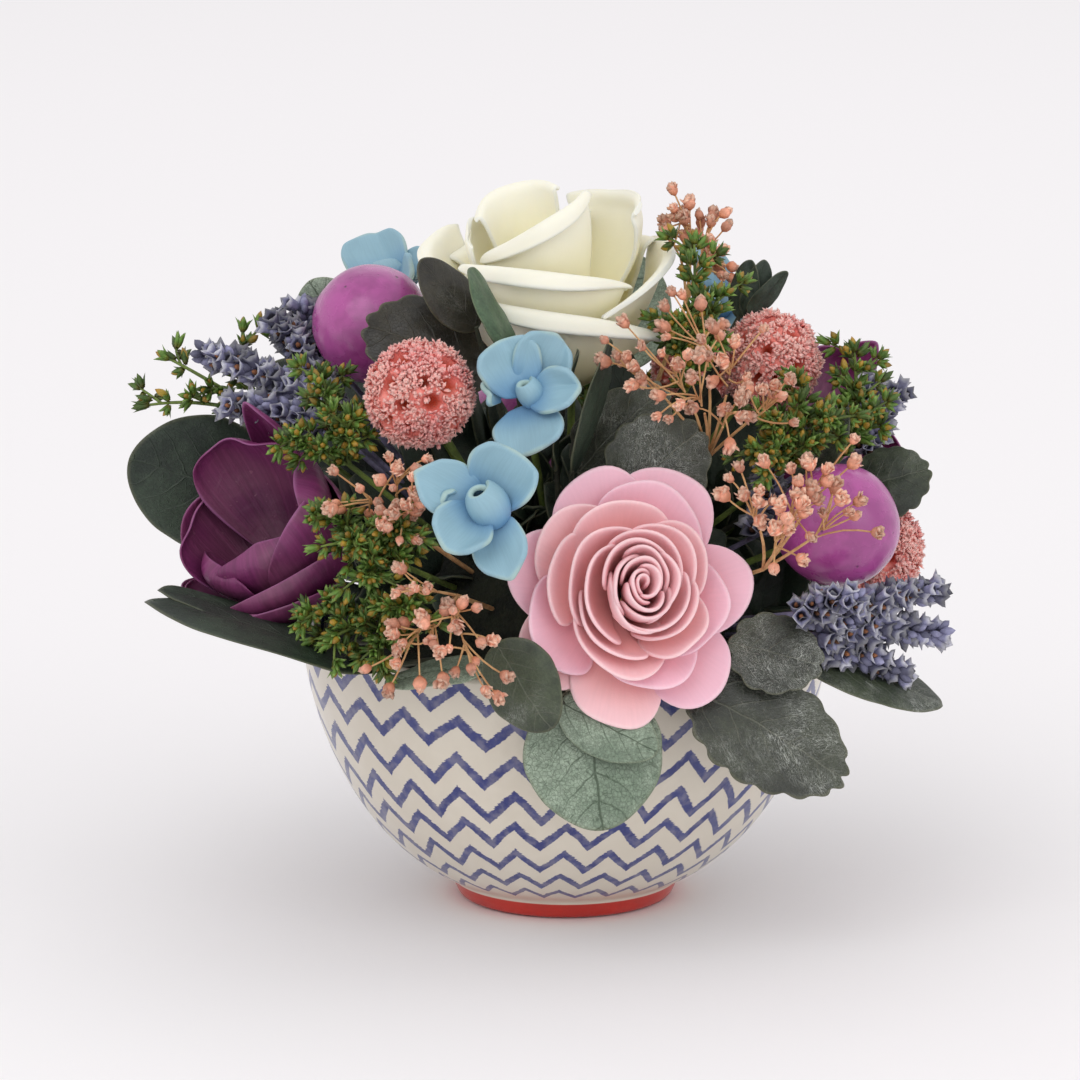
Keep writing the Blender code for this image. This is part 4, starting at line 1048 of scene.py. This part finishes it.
# Balls, as node, centre and radius
SMOOTH_BALLS = [("magenta_ball_left", (-54.6, -4.0, 166.5), 16.8),
                ("magenta_ball_right", (75.3, -46.0, 117.7), 17.2),
                ("magenta_ball_back", (-14.0, 82.0, 118.0), 16.8)]
PITTED_BALLS = [("coral_ball_left", (-40.5, -53.0, 156.5), 15.6),
                ("coral_ball_top_right", (57.5, -10.0, 157.0), 14.6),
                ("coral_ball_right", (87.0, -12.0, 103.0), 14.4),
                ("coral_ball_back", (40.0, 62.0, 140.0), 15.4)]
BALL_SUBDIVISIONS = 5
PITS = 30
TUFTS = 920


def finish_ball(parts, centre, radius, name, node):
    end = centre - away_from_heart(centre) * (radius - 3)
    finish_piece(parts, [tapered([root_of(end), end], STEM, STEM)], name, node, "green_stalks")


def make_smooth_balls():
    for k, (node, centre, radius) in enumerate(SMOOTH_BALLS):
        centre = Vector(centre)
        ball = added(bpy.ops.mesh.primitive_ico_sphere_add, subdivisions=BALL_SUBDIVISIONS, radius=1)
        for vert in ball.data.vertices:
            d = vert.co.normalized()
            swell = 1 + 0.022 * noise.noise(d * 1.3 + Vector((k * 7, 0, 0)))
            swell += 0.006 * noise.noise(d * 5 + Vector((k * 7, 0, 0)))
            vert.co = to_world(centre + d * radius * swell)
        coat(ball, "magenta_skin")
        smooth_shade(ball)
        finish_ball([ball], centre, radius, node.replace("magenta_ball", "waxed_ball"), node)


def pits_of(rng):
    """Directions and widths of the round holes, kept apart from each other."""
    found = []
    for _ in range(6000):
        d = any_way(rng).normalized()
        if all(d.angle(other) > 0.5 for other, _ in found):
            found.append((d, rng.uniform(0.16, 0.25)))
        if len(found) == PITS:
            break
    return found


def frill_models():
    """Small splayed tufts, like the crumbs of a loofah."""
    models = []
    for count, splay in ((4, 0.75), (3, 1.0), (4, 0.55)):
        parts = []
        for i in range(count):
            a = 2 * pi * i / count + 0.4 * i
            # The zone rises from 0.5 at a tuft's foot, darker among the tufts as painted shade, to 1 at its
            # tip
            crumb = spindle(2.5, 1.25, 0.7, 0.3, 3, 3, 1.3, (0.5, 1.0))
            turn = Matrix.Rotation(a, 3, "Z") @ Matrix.Rotation(splay, 3, "Y")
            parts.append((crumb, turn, (0.15 * cos(a), 0.15 * sin(a), 0.0)))
        models.append(model_of(*parts))
    return models


def make_pitted_balls():
    frills = frill_models()
    for k, (node, centre, radius) in enumerate(PITTED_BALLS):
        centre = Vector(centre)
        rng = random.Random(70 + k)
        pits = pits_of(rng)

        def depth(d):
            """How deep a direction lies in a pit: 1 at its middle, below 0 outside."""
            return max(1 - d.angle(hole) / wide for hole, wide in pits)

        ball = added(bpy.ops.mesh.primitive_ico_sphere_add, subdivisions=BALL_SUBDIVISIONS, radius=1)
        zones = new_zone(ball)
        for vert in ball.data.vertices:
            d = vert.co.normalized()
            sunk = min(max(depth(d), 0.0) * 1.7, 1.0) ** 0.7
            knob = noise.noise(d * 7 + Vector((k, 0, 0))) * 0.045 + noise.noise(d * 22) * 0.035
            # Lower zones in the pits and under the tufts darken the pulp to orange: painted shade
            zones[vert.index].value = max(0.0, 0.42 + knob * 3 - 0.6 * sunk)
            vert.co = to_world(centre + d * radius * (0.885 + knob * (1 - 0.6 * sunk) - 0.34 * sunk))
        coat(ball, "coral_sponge")
        places = []
        while len(places) < TUFTS:
            d = any_way(rng).normalized()
            if depth(d) > 0.16:
                continue
            lean = any_way(rng) * 0.25
            out = 0.875 + 0.05 * noise.noise(d * 6)
            places.append((centre + d * radius * out, d + lean, any_roll(rng), rng.uniform(0.68, 1.14)))
        name = node.replace("coral_ball", "spongy_ball")
        tufts = copies(name + "_tufts", frills, places, "coral_sponge", rng)
        finish_ball([ball, tufts], centre, radius, name, node)


# Leaves, as node, material, teeth and blades of (base, tip, width, facing, bend, cup)
LEAVES = [
    ("leaf_far_left", "dark_leaf", 0, [((-84, 6, 113), (-124, 0, 127), 38, (-0.1, -1, 0.1), 0.3, 0.12)]),
    ("leaf_low_left", "dark_leaf", 0, [
        ((-51, -80, 84.5), (-116.5, -55, 99.5), 34, (0.1, 0.02, 1), 0.2, 0.12),
        ((-64, -66, 88.5), (-113.5, -44, 100), 24, (0.1, 0.02, 1), 0.1, 0.12)]),
    ("leaf_behind_ball", "pale_leaf", 0, [((-58, 18, 153), (-73, 15, 175), 24, (-0.4, -1, 0.3), 0.3, 0.1)]),
    ("leaf_scalloped", "umber_leaf", 15, [((-20, -28, 158), (-57, -28, 171), 31, (0, -1, 0.55), 0.5, 0.15)]),
    ("leaf_dark_top", "umber_leaf", 0, [
        ((-24.5, -35, 171), (-40.5, -33, 190.5), 15, (0.4, -0.9, 0.5), 0.3, 0.2)]),
    ("leaf_narrow_green", "green_leaf", 0, [
        ((-15.5, -48, 167.4), (-26.5, -39, 189.4), 20, (1, -0.35, 0.2), 0.35, 0.2)]),
    ("leaf_edge_pair", "dark_leaf", 0, [
        ((1, -56, 134), (12, -47, 171), 22, (1, -0.3, -0.3), 0.4, 0.1),
        ((-3, -51, 134), (4, -47, 168), 20, (1, -0.1, -0.2), -0.3, 0.1)]),
    ("leaf_behind_rose", "silver_leaf", 13, [
        ((2.9, -46, 132.6), (27.9, -38, 155.6), 26, (-0.3, -0.8, 0.8), 0.4, 0.12),
        ((13.7, -54, 126.6), (37.7, -50, 146.6), 30, (0.2, -0.8, 0.5), 0.35, 0.12)]),
    ("leaf_top_right", "dark_leaf", 0, [
        ((51.5, 3.6, 167.5), (62.4, 5.6, 180.0), 6.5, (0.9, -1, 0.2), 0.4, 0.15),
        ((49.0, 6.2, 166.0), (52.2, 8.2, 182.6), 8.5, (-0.3, -1, 0.1), 0.3, 0.2),
        ((51.0, 6.6, 166.0), (56.6, 8.8, 182.4), 8.5, (0.3, -1, 0.1), 0.3, 0.2)]),
    ("leaf_frosted", "frosted_leaf", 0, [((65, -23, 125), (78, -20, 149), 20, (-0.9, -0.7, 0.3), 0.6, 0.25)]),
    ("leaf_right_dark", "frosted_leaf", 13, [
        ((82, -16, 121), (103, -14, 127), 22, (0.1, -0.8, 0.7), 0.4, 0.15)]),
    ("leaf_right_middle", "silver_leaf", 11, [
        ((44.1, -71.1, 90.6), (71.1, -70.1, 83.6), 23, (0.2, -1, 0.45), 0.35, 0.12)]),
    ("leaf_big_scalloped", "silver_leaf", 17, [
        ((33.7, -75.1, 79), (77.7, -71.1, 51), 33, (0.35, -1, 0.4), 0.5, 0.12)]),
    ("leaf_right_pointing", "frosted_leaf", 0, [
        ((64, -58, 84), (105, -48, 67), 22, (0.2, -0.5, 1), 0.35, 0.15)]),
    ("leaf_front_left", "frosted_leaf", 0, [
        ((-19.2, -88, 94.7), (-4.2, -98, 72.7), 22, (-0.4, -1, 0.1), 0.4, 0.2)]),
    ("leaf_front_hanging", "pale_leaf", 0, [((5, -78.5, 80), (10, -90, 42), 38, (0, -1, 0.2), 0.3, 0.12)]),
    ("leaf_front_small", "pale_leaf", 0, [((-2, -84, 77), (25, -89, 64), 18, (0.1, -1, 0.2), 0.25, 0.1)]),
    ("leaf_on_rim", "pale_leaf", 0, [((-20, -81, 86), (-50, -78, 80), 14, (-0.1, -0.35, 1), 0.5, 0.15)]),
    ("leaf_back_left", "dark_leaf", 0, [
        ((-62, 50, 106), (-96, 68, 120), 36, (-0.4, 0.9, 0.3), 0.35, 0.12),
        ((-50, 60, 112), (-68, 84, 136), 30, (-0.5, 0.9, 0.2), 0.35, 0.12),
        ((-64, 48, 92), (-88, 72, 84), 30, (-0.3, 0.5, 0.9), 0.4, 0.12)]),
    ("leaf_back_low", "frosted_leaf", 15, [
        ((-8, 84, 86), (-12, 100, 60), 34, (0, 1, 0.5), 0.4, 0.12),
        ((14, 82, 88), (26, 98, 66), 30, (0.2, 1, 0.5), 0.4, 0.12),
        ((-30, 76, 90), (-44, 92, 70), 28, (-0.3, 1, 0.5), 0.4, 0.12)]),
    ("leaf_back_right", "dark_leaf", 0, [
        ((60, 60, 98), (86, 80, 88), 34, (0.5, 0.6, 0.9), 0.4, 0.12),
        ((48, 64, 100), (62, 92, 112), 30, (0.3, 0.8, 0.6), 0.35, 0.12),
        ((44, 72, 90), (54, 94, 74), 28, (0.4, 1, 0.5), 0.4, 0.12)]),
    ("leaf_back_upper", "pale_leaf", 0, [
        ((12, 48, 142), (22, 60, 174), 28, (0.2, 0.9, 0.3), 0.35, 0.12),
        ((-10, 52, 140), (-20, 66, 170), 28, (-0.3, 0.9, 0.3), 0.35, 0.12)]),
    ("leaf_right_side", "dark_leaf", 0, [
        ((74, 28, 89), (104, 38, 79), 30, (0.5, 0.1, 1), 0.4, 0.12),
        ((70, 40, 95), (92, 60, 101), 26, (0.3, 0.8, 0.5), 0.4, 0.12)]),
    ("leaf_left_side", "dark_leaf", 0, [
        ((-74, 28, 95), (-108, 40, 93), 30, (-0.3, 0.2, 1), 0.4, 0.12),
        ((-60, 34, 121), (-88, 46, 143), 30, (-0.4, 0.9, 0.4), 0.4, 0.12)]),
]


def leaf_blade(base, tip, width, facing, bend, cup, material, seed, rows, cols, teeth=0):
    """A leaf along an arc from base to tip, creased at its midrib, with a waved or scalloped edge."""
    base = Vector(base)
    tip = Vector(tip)
    length = (tip - base).length
    t = (tip - base).normalized()
    n = Vector(facing)
    n = (n - t * n.dot(t)).normalized()
    side = t.cross(n)
    off = Vector((seed * 5.3, 0, 0))

    def place(u, v):
        y = 2 * u - 1
        r = hypot(v, y)
        if teeth:
            notch = 1 - abs(sin(teeth * atan2(v, y) / 2)) ** 0.6
            shrink = 1 - 0.13 * notch * r ** 8
            v *= shrink
            y *= shrink
        a = bend * ((y + 1) / 2 - 0.5)
        far = length / 2 + length * sin(a) / (2 * sin(bend / 2))
        rise = length * (cos(a) - cos(bend / 2)) / (2 * sin(abs(bend) / 2))
        wide = width / 2 * (1.02 - 0.12 * y - 0.1 * y * y)
        curl = cup * wide * v * v * 0.7
        crease = 0.5 * exp(-(v / 0.07) ** 2)
        wave = noise.noise(Vector((v * 1.4, y * 1.4, 0)) + off) * 1.5 * r * r
        wave += noise.noise(Vector((v * 4, y * 4, 3)) + off) * 0.35
        wide *= 1 + 0.05 * noise.noise(Vector((y * 2.4, 2.0 if v > 0 else 0.0, 7.0)) + off)
        lift = rise * (1 if bend > 0 else -1) - curl - crease + wave
        return base + t * far + side * wide * v + n * lift

    return blade(place, rows, cols, material, 1.0)


def make_leaves():
    for k, (node, material, teeth, leaves) in enumerate(LEAVES):
        rows, cols = (26, 20) if teeth and len(leaves) < 3 else (16, 10)
        blades = []
        runs = []
        for i, (base, tip, width, facing, bend, cup) in enumerate(leaves):
            blades.append(leaf_blade(base, tip, width, facing, bend, cup, material, k + i * 0.37, rows, cols,
                                     teeth))
            runs.append(tapered([root_of(base), Vector(base).lerp(Vector(tip), 0.04)], 1.0, 0.7))
        name = node + "_blade"
        obj = join(blades, name)
        thicken(obj, LEAF)
        finish_piece([obj], runs, name, node, "leaf_stalks")


# Sprays. Lavender is given as the foot and the tip of each spike
LAVENDER = [
    ("lavender_left_long", [((-70, -14, 146), (-105, -8, 160)), ((-66, -19, 140), (-97, -22, 147))]),
    ("lavender_left_upright", [((-70, 2, 152), (-85, 2, 168)), ((-66, 6, 154), (-77, 8, 172)),
                               ((-66, -8, 140), (-74, -4, 158))]),
    ("lavender_right_upper", [((84, -4, 130), (95, -6, 150)), ((82, 0, 134), (88, 2, 150))]),
    ("lavender_right_low", [((72, -60, 94), (105, -52, 102)), ((70, -60, 90), (107, -50, 88)),
                            ((70, -58, 86), (96, -52, 76)), ((64, -68, 98), (82, -76, 104)),
                            ((54, -31, 112), (58, -30, 137))]),
    ("lavender_back", [((-42, 60, 126), (-58, 80, 148)), ((-38, 66, 120), (-50, 88, 132)),
                       ((-44, 66, 108), (-58, 90, 110))]),
]
WHORL_STEP = 3.1


def urn(rim, mouth, height):
    """A lavender calyx along +Z: a ribbed cup whose rim stands out in four lobes."""
    # Zones: 1 at the rim, pale with a painted highlight, and near 0 inside the mouth, dark with painted shade
    rows = [(0, 0, 0.5), (0.9, 0.5, 0.5), (1.5, height * 0.34, 0.42), (1.6, height * 0.62, 0.5),
            (rim, height, 1.0), (mouth, height * 0.7, 0.1), (0.7, height * 0.5, 0.0), (0, height * 0.42, 0.0)]
    last = len(rows) - 1
    obj = added(bpy.ops.mesh.primitive_uv_sphere_add, segments=8, ring_count=last, radius=1)
    zones = new_zone(obj)
    for vert in obj.data.vertices:
        row = round(acos(max(-1.0, min(1.0, -vert.co.z))) / pi * last)
        radius, level, zone = rows[row]
        around = outward(vert.co)
        lobe = cos(4 * atan2(around.y, around.x))
        if row == 4:
            radius *= 1 + 0.16 * lobe
            level += 0.45 * lobe
        elif row in (2, 3):
            radius *= 1 + 0.1 * lobe
        vert.co = Vector((around.x * radius, around.y * radius, level))
        zones[vert.index].value = zone
    return obj


def floret_models():
    """Lavender florets: a half-open cup, an open one with its brown seed and a closed bud."""
    flat = Matrix.Identity(3)
    foot = (0, 0, 0)
    half = urn(2.0, 1.2, 5.2)
    wide = urn(2.7, 1.4, 4.4)
    seed = spindle(2.8, 1.5, 1.5, 0.1, 5, 4, 1.0, (2.0, 2.0))
    bud = spindle(4.8, 2.5, 2.5, 0.3, 6, 5, 1.2, (0.35, 0.6))
    return [model_of((half, flat, foot)), model_of((wide, flat, foot), (seed, flat, (0, 0, 1.6))),
            model_of((bud, flat, foot))]


def make_lavender():
    models = floret_models()
    bow = Vector((0, 0, 1.5))
    for node, spikes in LAVENDER:
        rng = random.Random(node)
        places = []
        runs = []
        for foot, tip in spikes:
            foot = Vector(foot)
            tip = Vector(tip)
            d = (tip - foot).normalized()
            runs.append(tapered([root_of(foot)] + bowed(foot, tip - d * 2.5, 9, bow), 0.9, 0.5))
            whorls = max(5, int((tip - foot).length / WHORL_STEP))
            for i in range(whorls):
                t = i / (whorls - 1)
                middle = foot.lerp(tip - d * 4.5, t) + bow * sin(pi * t)
                count, step = (8, 0.79) if t < 0.85 else (5, 1.26)
                for j in range(count):
                    out = aim(d, j * step + i * 0.45 + rng.uniform(-0.25, 0.25)) @ Vector((1, 0, 0))
                    axis = d * rng.uniform(0.5, 0.9) + out * (1.0 - 0.55 * t)
                    size = rng.uniform(0.85, 1.2) * (1.05 - 0.15 * t)
                    start = middle + out * 0.8 + d * rng.uniform(-1.2, 1.2)
                    places.append((start, axis, any_roll(rng), size))
        name = node + "_spikes"
        florets = copies(name, models, places, "lavender_florets", rng)
        finish_piece([florets], runs, name, node, "grey_stalks")


# Marjoram, as node, base and the tips of its shoots
HERBS = [
    ("herb_far_left", (-86, 0, 140), [(-121, 2, 142), (-115, 6, 156), (-92, 8, 165)]),
    ("herb_left_top", (-60, -42, 134), [(-68, -38, 162), (-78, -47, 143), (-58, -54, 152)]),
    ("herb_left_middle", (-48, -64, 112), [(-60, -84, 124), (-44, -88, 128), (-68, -76, 130),
                                           (-54, -88, 112)]),
    ("herb_left_low", (-46, -66, 98), [(-74, -77, 100), (-66, -84, 94), (-52, -90, 88), (-42, -94, 106)]),
    ("herb_top", (33, -24, 150), [(36, -12, 194), (28, -30, 174), (43, -28, 182)]),
    ("herb_right", (62, -34, 132), [(65, -38, 160), (55, -48, 150), (73, -42, 150), (50, -60, 142)]),
    ("herb_right_outer", (76, -20, 130), [(81, -16, 164), (85, -24, 148)]),
    ("herb_back", (6, 60, 126), [(6, 82, 156), (-10, 84, 150), (22, 84, 132), (18, 92, 112), (30, 76, 122)]),
]
# bract step and number of side shoots on a full herb and on a sparse one
FULL_HERB = (4.4, 6)
SPARSE_HERB = (11.0, 2)
SHOOT_STEP = 4.2


def bract_models():
    """Small bunches of pointed bracts, open like a little rosette."""
    models = []
    for count, bend, length in ((4, 1.5, 4.4), (4, 1.0, 5.0), (5, 1.9, 4.0)):
        parts = []
        for i in range(count):
            a = 2 * pi * i / count
            leaf = spindle(length, 1.9, 0.7, bend, 4, 4, 0.8)
            parts.append((leaf, Matrix.Rotation(a, 3, "Z"), (0.5 * cos(a), 0.5 * sin(a), 0.0)))
        models.append(model_of(*parts))
    return models


def bud_models():
    flat = Matrix.Identity(3)
    buds = [spindle(4.3, 2.1, 2.0, 0.3, 5, 5, 0.9), spindle(3.6, 1.9, 1.8, -0.2, 5, 5, 0.9)]
    return [model_of((bud, flat, (0, 0, 0))) for bud in buds]


def side_shoots(rng, line, count, length, spread):
    """Short shoots off a stem: (start, end) pairs that fan out round it."""
    found = []
    for i in range(count):
        start, d = along(line, 0.15 + 0.75 * (i + rng.random()) / count)
        out = aim(d, 2.4 * i + rng.uniform(-0.5, 0.5)) @ Vector((1, 0, 0))
        found.append((start, start + (d * 0.8 + out * spread).normalized() * length * rng.uniform(0.7, 1.15)))
    return found


def dress(rng, line, step, size, places, buds):
    """Pairs of bract bunches along a shoot, closed by one at its tip."""
    length = sum((b - a).length for a, b in zip(line, line[1:]))
    count = max(2, int(length / step))
    for i in range(count):
        p, d = along(line, (i + 0.5) / count)
        for half in (0, pi):
            out = aim(d, 1.57 * i + half + rng.uniform(-0.4, 0.4)) @ Vector((1, 0, 0))
            axis = d * 0.6 + out * rng.uniform(0.6, 1.1)
            places.append((p + out * 0.5, axis, any_roll(rng), size * rng.uniform(0.8, 1.15)))
            if rng.random() < 0.8:
                buds.append((p + out * 1.6, axis + d * 0.5, any_roll(rng), size * rng.uniform(0.8, 1.15)))
    d = (line[-1] - line[-2]).normalized()
    places.append((line[-1] - d * 1.0, d, any_roll(rng), size * 1.1))
    buds.append((line[-1] - d * 0.6, d, 0.0, size))


def make_herbs():
    models = bract_models()
    bud = bud_models()
    for node, base, tips in HERBS:
        rng = random.Random(node)
        base = Vector(base)
        away = away_from_heart(base)
        places = []
        buds = []
        runs = [tapered([root_of(base), base], 0.9, 0.8)]
        step, shoots = SPARSE_HERB if node == "herb_far_left" else FULL_HERB
        for tip in tips:
            tip = Vector(tip)
            line = bowed(base, tip - (tip - base).normalized() * 2.5, 9, away * 3)
            runs.append(tapered(line, 0.7, 0.4))
            dress(rng, line, step, 1.05, places, buds)
            for start, end in side_shoots(rng, line, shoots, 10.0, 1.0):
                shoot = bowed(start, end, 4, away * 0.8)
                runs.append(tapered(shoot, 0.45, 0.3))
                dress(rng, shoot, SHOOT_STEP, 0.95, places, buds)
        name = node + "_sprig"
        bracts = copies(name, models, places, "herb_bracts", rng)
        seeds = copies(name + "_buds", bud, buds, "herb_buds", rng)
        finish_piece([bracts, seeds], runs, name, node, "green_stalks")


# Peach sprays, as node, base, reach of the heads round a tip, and tips
PEACH = [
    ("peach_spray_top", (34, 8, 170), 6.0, [(35, 12, 197), (29, 10, 190), (41, 12, 192), (42, 8, 184)]),
    ("peach_spray_middle", (39, -42, 136), 9.0, [(37, -50, 180), (14, -58, 168), (26, -64, 170),
                                                 (46, -62, 172), (58, -66, 158), (44, -70, 156),
                                                 (34, -72, 164)]),
    ("peach_spray_right", (54, -66, 110), 9.0, [(62, -92, 136), (70, -86, 142), (56, -98, 128),
                                                (48, -92, 136), (76, -84, 130)]),
    ("peach_spray_left", (-44, -66, 122), 9.0, [(-46, -84, 142), (-56, -82, 136), (-40, -90, 134),
                                                (-50, -90, 128)]),
    ("peach_spray_low", (-30, -72, 104), 9.0, [(-38, -100, 98), (-46, -98, 92), (-30, -104, 104),
                                               (-38, -100, 112), (-26, -104, 92)]),
    ("peach_spray_back", (8, 70, 108), 9.0, [(6, 98, 122), (20, 96, 120), (0, 100, 104), (12, 102, 96),
                                             (30, 94, 100)]),
]
HEADS_AT_TIP = 8


def head_models():
    """Dried heads: crumpled papery petals packed round, and small closed ones."""
    models = []
    for seed in (1, 2, 3, 4):
        rng = random.Random(seed)
        parts = [(spindle(4.4, 3.6, 3.6, 0.0, 6, 4, 1.0, (0.0, 0.7)), Matrix.Identity(3), (0, 0, 0.2))]
        for i in range(12 if seed < 4 else 5):
            a = 2.4 * i + rng.uniform(-0.3, 0.3)
            tilt = 0.15 + 1.1 * i / 12
            leaf = spindle(rng.uniform(2.2, 3.2), rng.uniform(2.0, 2.8), 0.6, rng.uniform(-1.5, -0.3), 4, 4,
                           1.3, (0.3, 1.0))
            lean = Matrix.Rotation(a, 3, "Z") @ Matrix.Rotation(tilt, 3, "Y")
            twist = Matrix.Rotation(rng.uniform(-0.9, 0.9), 3, "Z")
            out = Vector((sin(tilt) * cos(a), sin(tilt) * sin(a), cos(tilt)))
            parts.append((leaf, lean @ twist, Vector((0, 0, 2.0)) + out * rng.uniform(0.2, 0.7)))
        models.append(model_of(*parts))
    return models


def make_peach_sprays():
    models = head_models()
    for node, base, reach, tips in PEACH:
        rng = random.Random(node)
        base = Vector(base)
        away = away_from_heart(base)
        heads = []
        runs = [tapered([root_of(base), base], 0.7, 0.6)]
        for tip in tips:
            tip = Vector(tip)
            fork = base + (tip - base) * 0.5 + away * 3
            runs.append(tapered(bowed(base, fork, 4, away), 0.5, 0.38))
            for j in range(HEADS_AT_TIP):
                spread = drawn(rng, (-1, 1), (-0.7, 0.7), (-1, 1))
                end = tip + spread * reach - away * 2.0 if j else tip
                if j and not is_free(end):
                    continue
                start = fork.lerp(tip, 0.6 * rng.random())
                path = bowed(start, end, 5, Vector((0, 0, rng.uniform(-1.5, 1.5))))
                runs.append(tapered(path, 0.3, 0.24))
                d = (path[-1] - path[-2]).normalized()
                heads.append((end - d * 1.5, d, any_roll(rng), rng.uniform(0.65, 1.15)))
        name = node + "_heads"
        blooms = copies(name, models, heads, "peach_florets", rng)
        finish_piece([blooms], runs, name, node, "tan_stalks")


# Floor, light and camera
LIGHTS = [("key_light", (-0.6, -1.4, 1.5), 1.6, 8.0), ("fill_light", (1.3, -1.3, 0.8), 1.4, 4.5),
          ("back_light", (0.2, 1.4, 1.5), 1.4, 2.2)]
WORLD_STRENGTH = 0.87


def make_studio():
    floor = added(bpy.ops.mesh.primitive_plane_add, size=16.0, location=(0, 0, -0.0002))
    floor.name = "pale_floor"
    bpy.ops.object.transform_apply(location=True, rotation=True, scale=True)
    start_material("pale_floor", 0.9, Base_Color=rgb(246, 244, 245), Specular_IOR_Level=0.0)
    coat(floor, "pale_floor")

    world = bpy.data.worlds.new("studio")
    world.use_nodes = True
    background = world.node_tree.nodes["Background"]
    background.inputs[0].default_value = (1.0, 0.99, 1.0, 1)
    background.inputs[1].default_value = WORLD_STRENGTH
    bpy.context.scene.world = world

    aim_at = to_world((0, 0, 100))
    for name, place, size, power in LIGHTS:
        light = bpy.data.lights.new(name, "AREA")
        light.shape = "DISK"
        light.size = size
        light.energy = power
        lamp = new_object(name, light)
        lamp.location = place
        lamp.rotation_euler = (aim_at - Vector(place)).to_track_quat("-Z", "Y").to_euler()

    lens = bpy.data.cameras.new("photo_view")
    lens.lens = LENS
    lens.sensor_width = 36.0
    lens.clip_end = 50.0
    camera = new_object("photo_view", lens)
    back = Vector((0, -cos(VIEW_RISE), sin(VIEW_RISE)))
    camera.location = to_world(VIEW_AIM + back * VIEW_DISTANCE)
    camera.rotation_euler = (-back).to_track_quat("-Z", "Y").to_euler()
    bpy.context.scene.camera = camera
    bpy.context.scene.view_settings.view_transform = "Standard"


make_materials()
make_studio()
make_bowl()
make_foam()
make_white_rose()
make_pink_rose()
make_plum_blooms()
make_blue_blooms()
make_smooth_balls()
make_pitted_balls()
make_leaves()
make_lavender()
make_herbs()
make_peach_sprays()
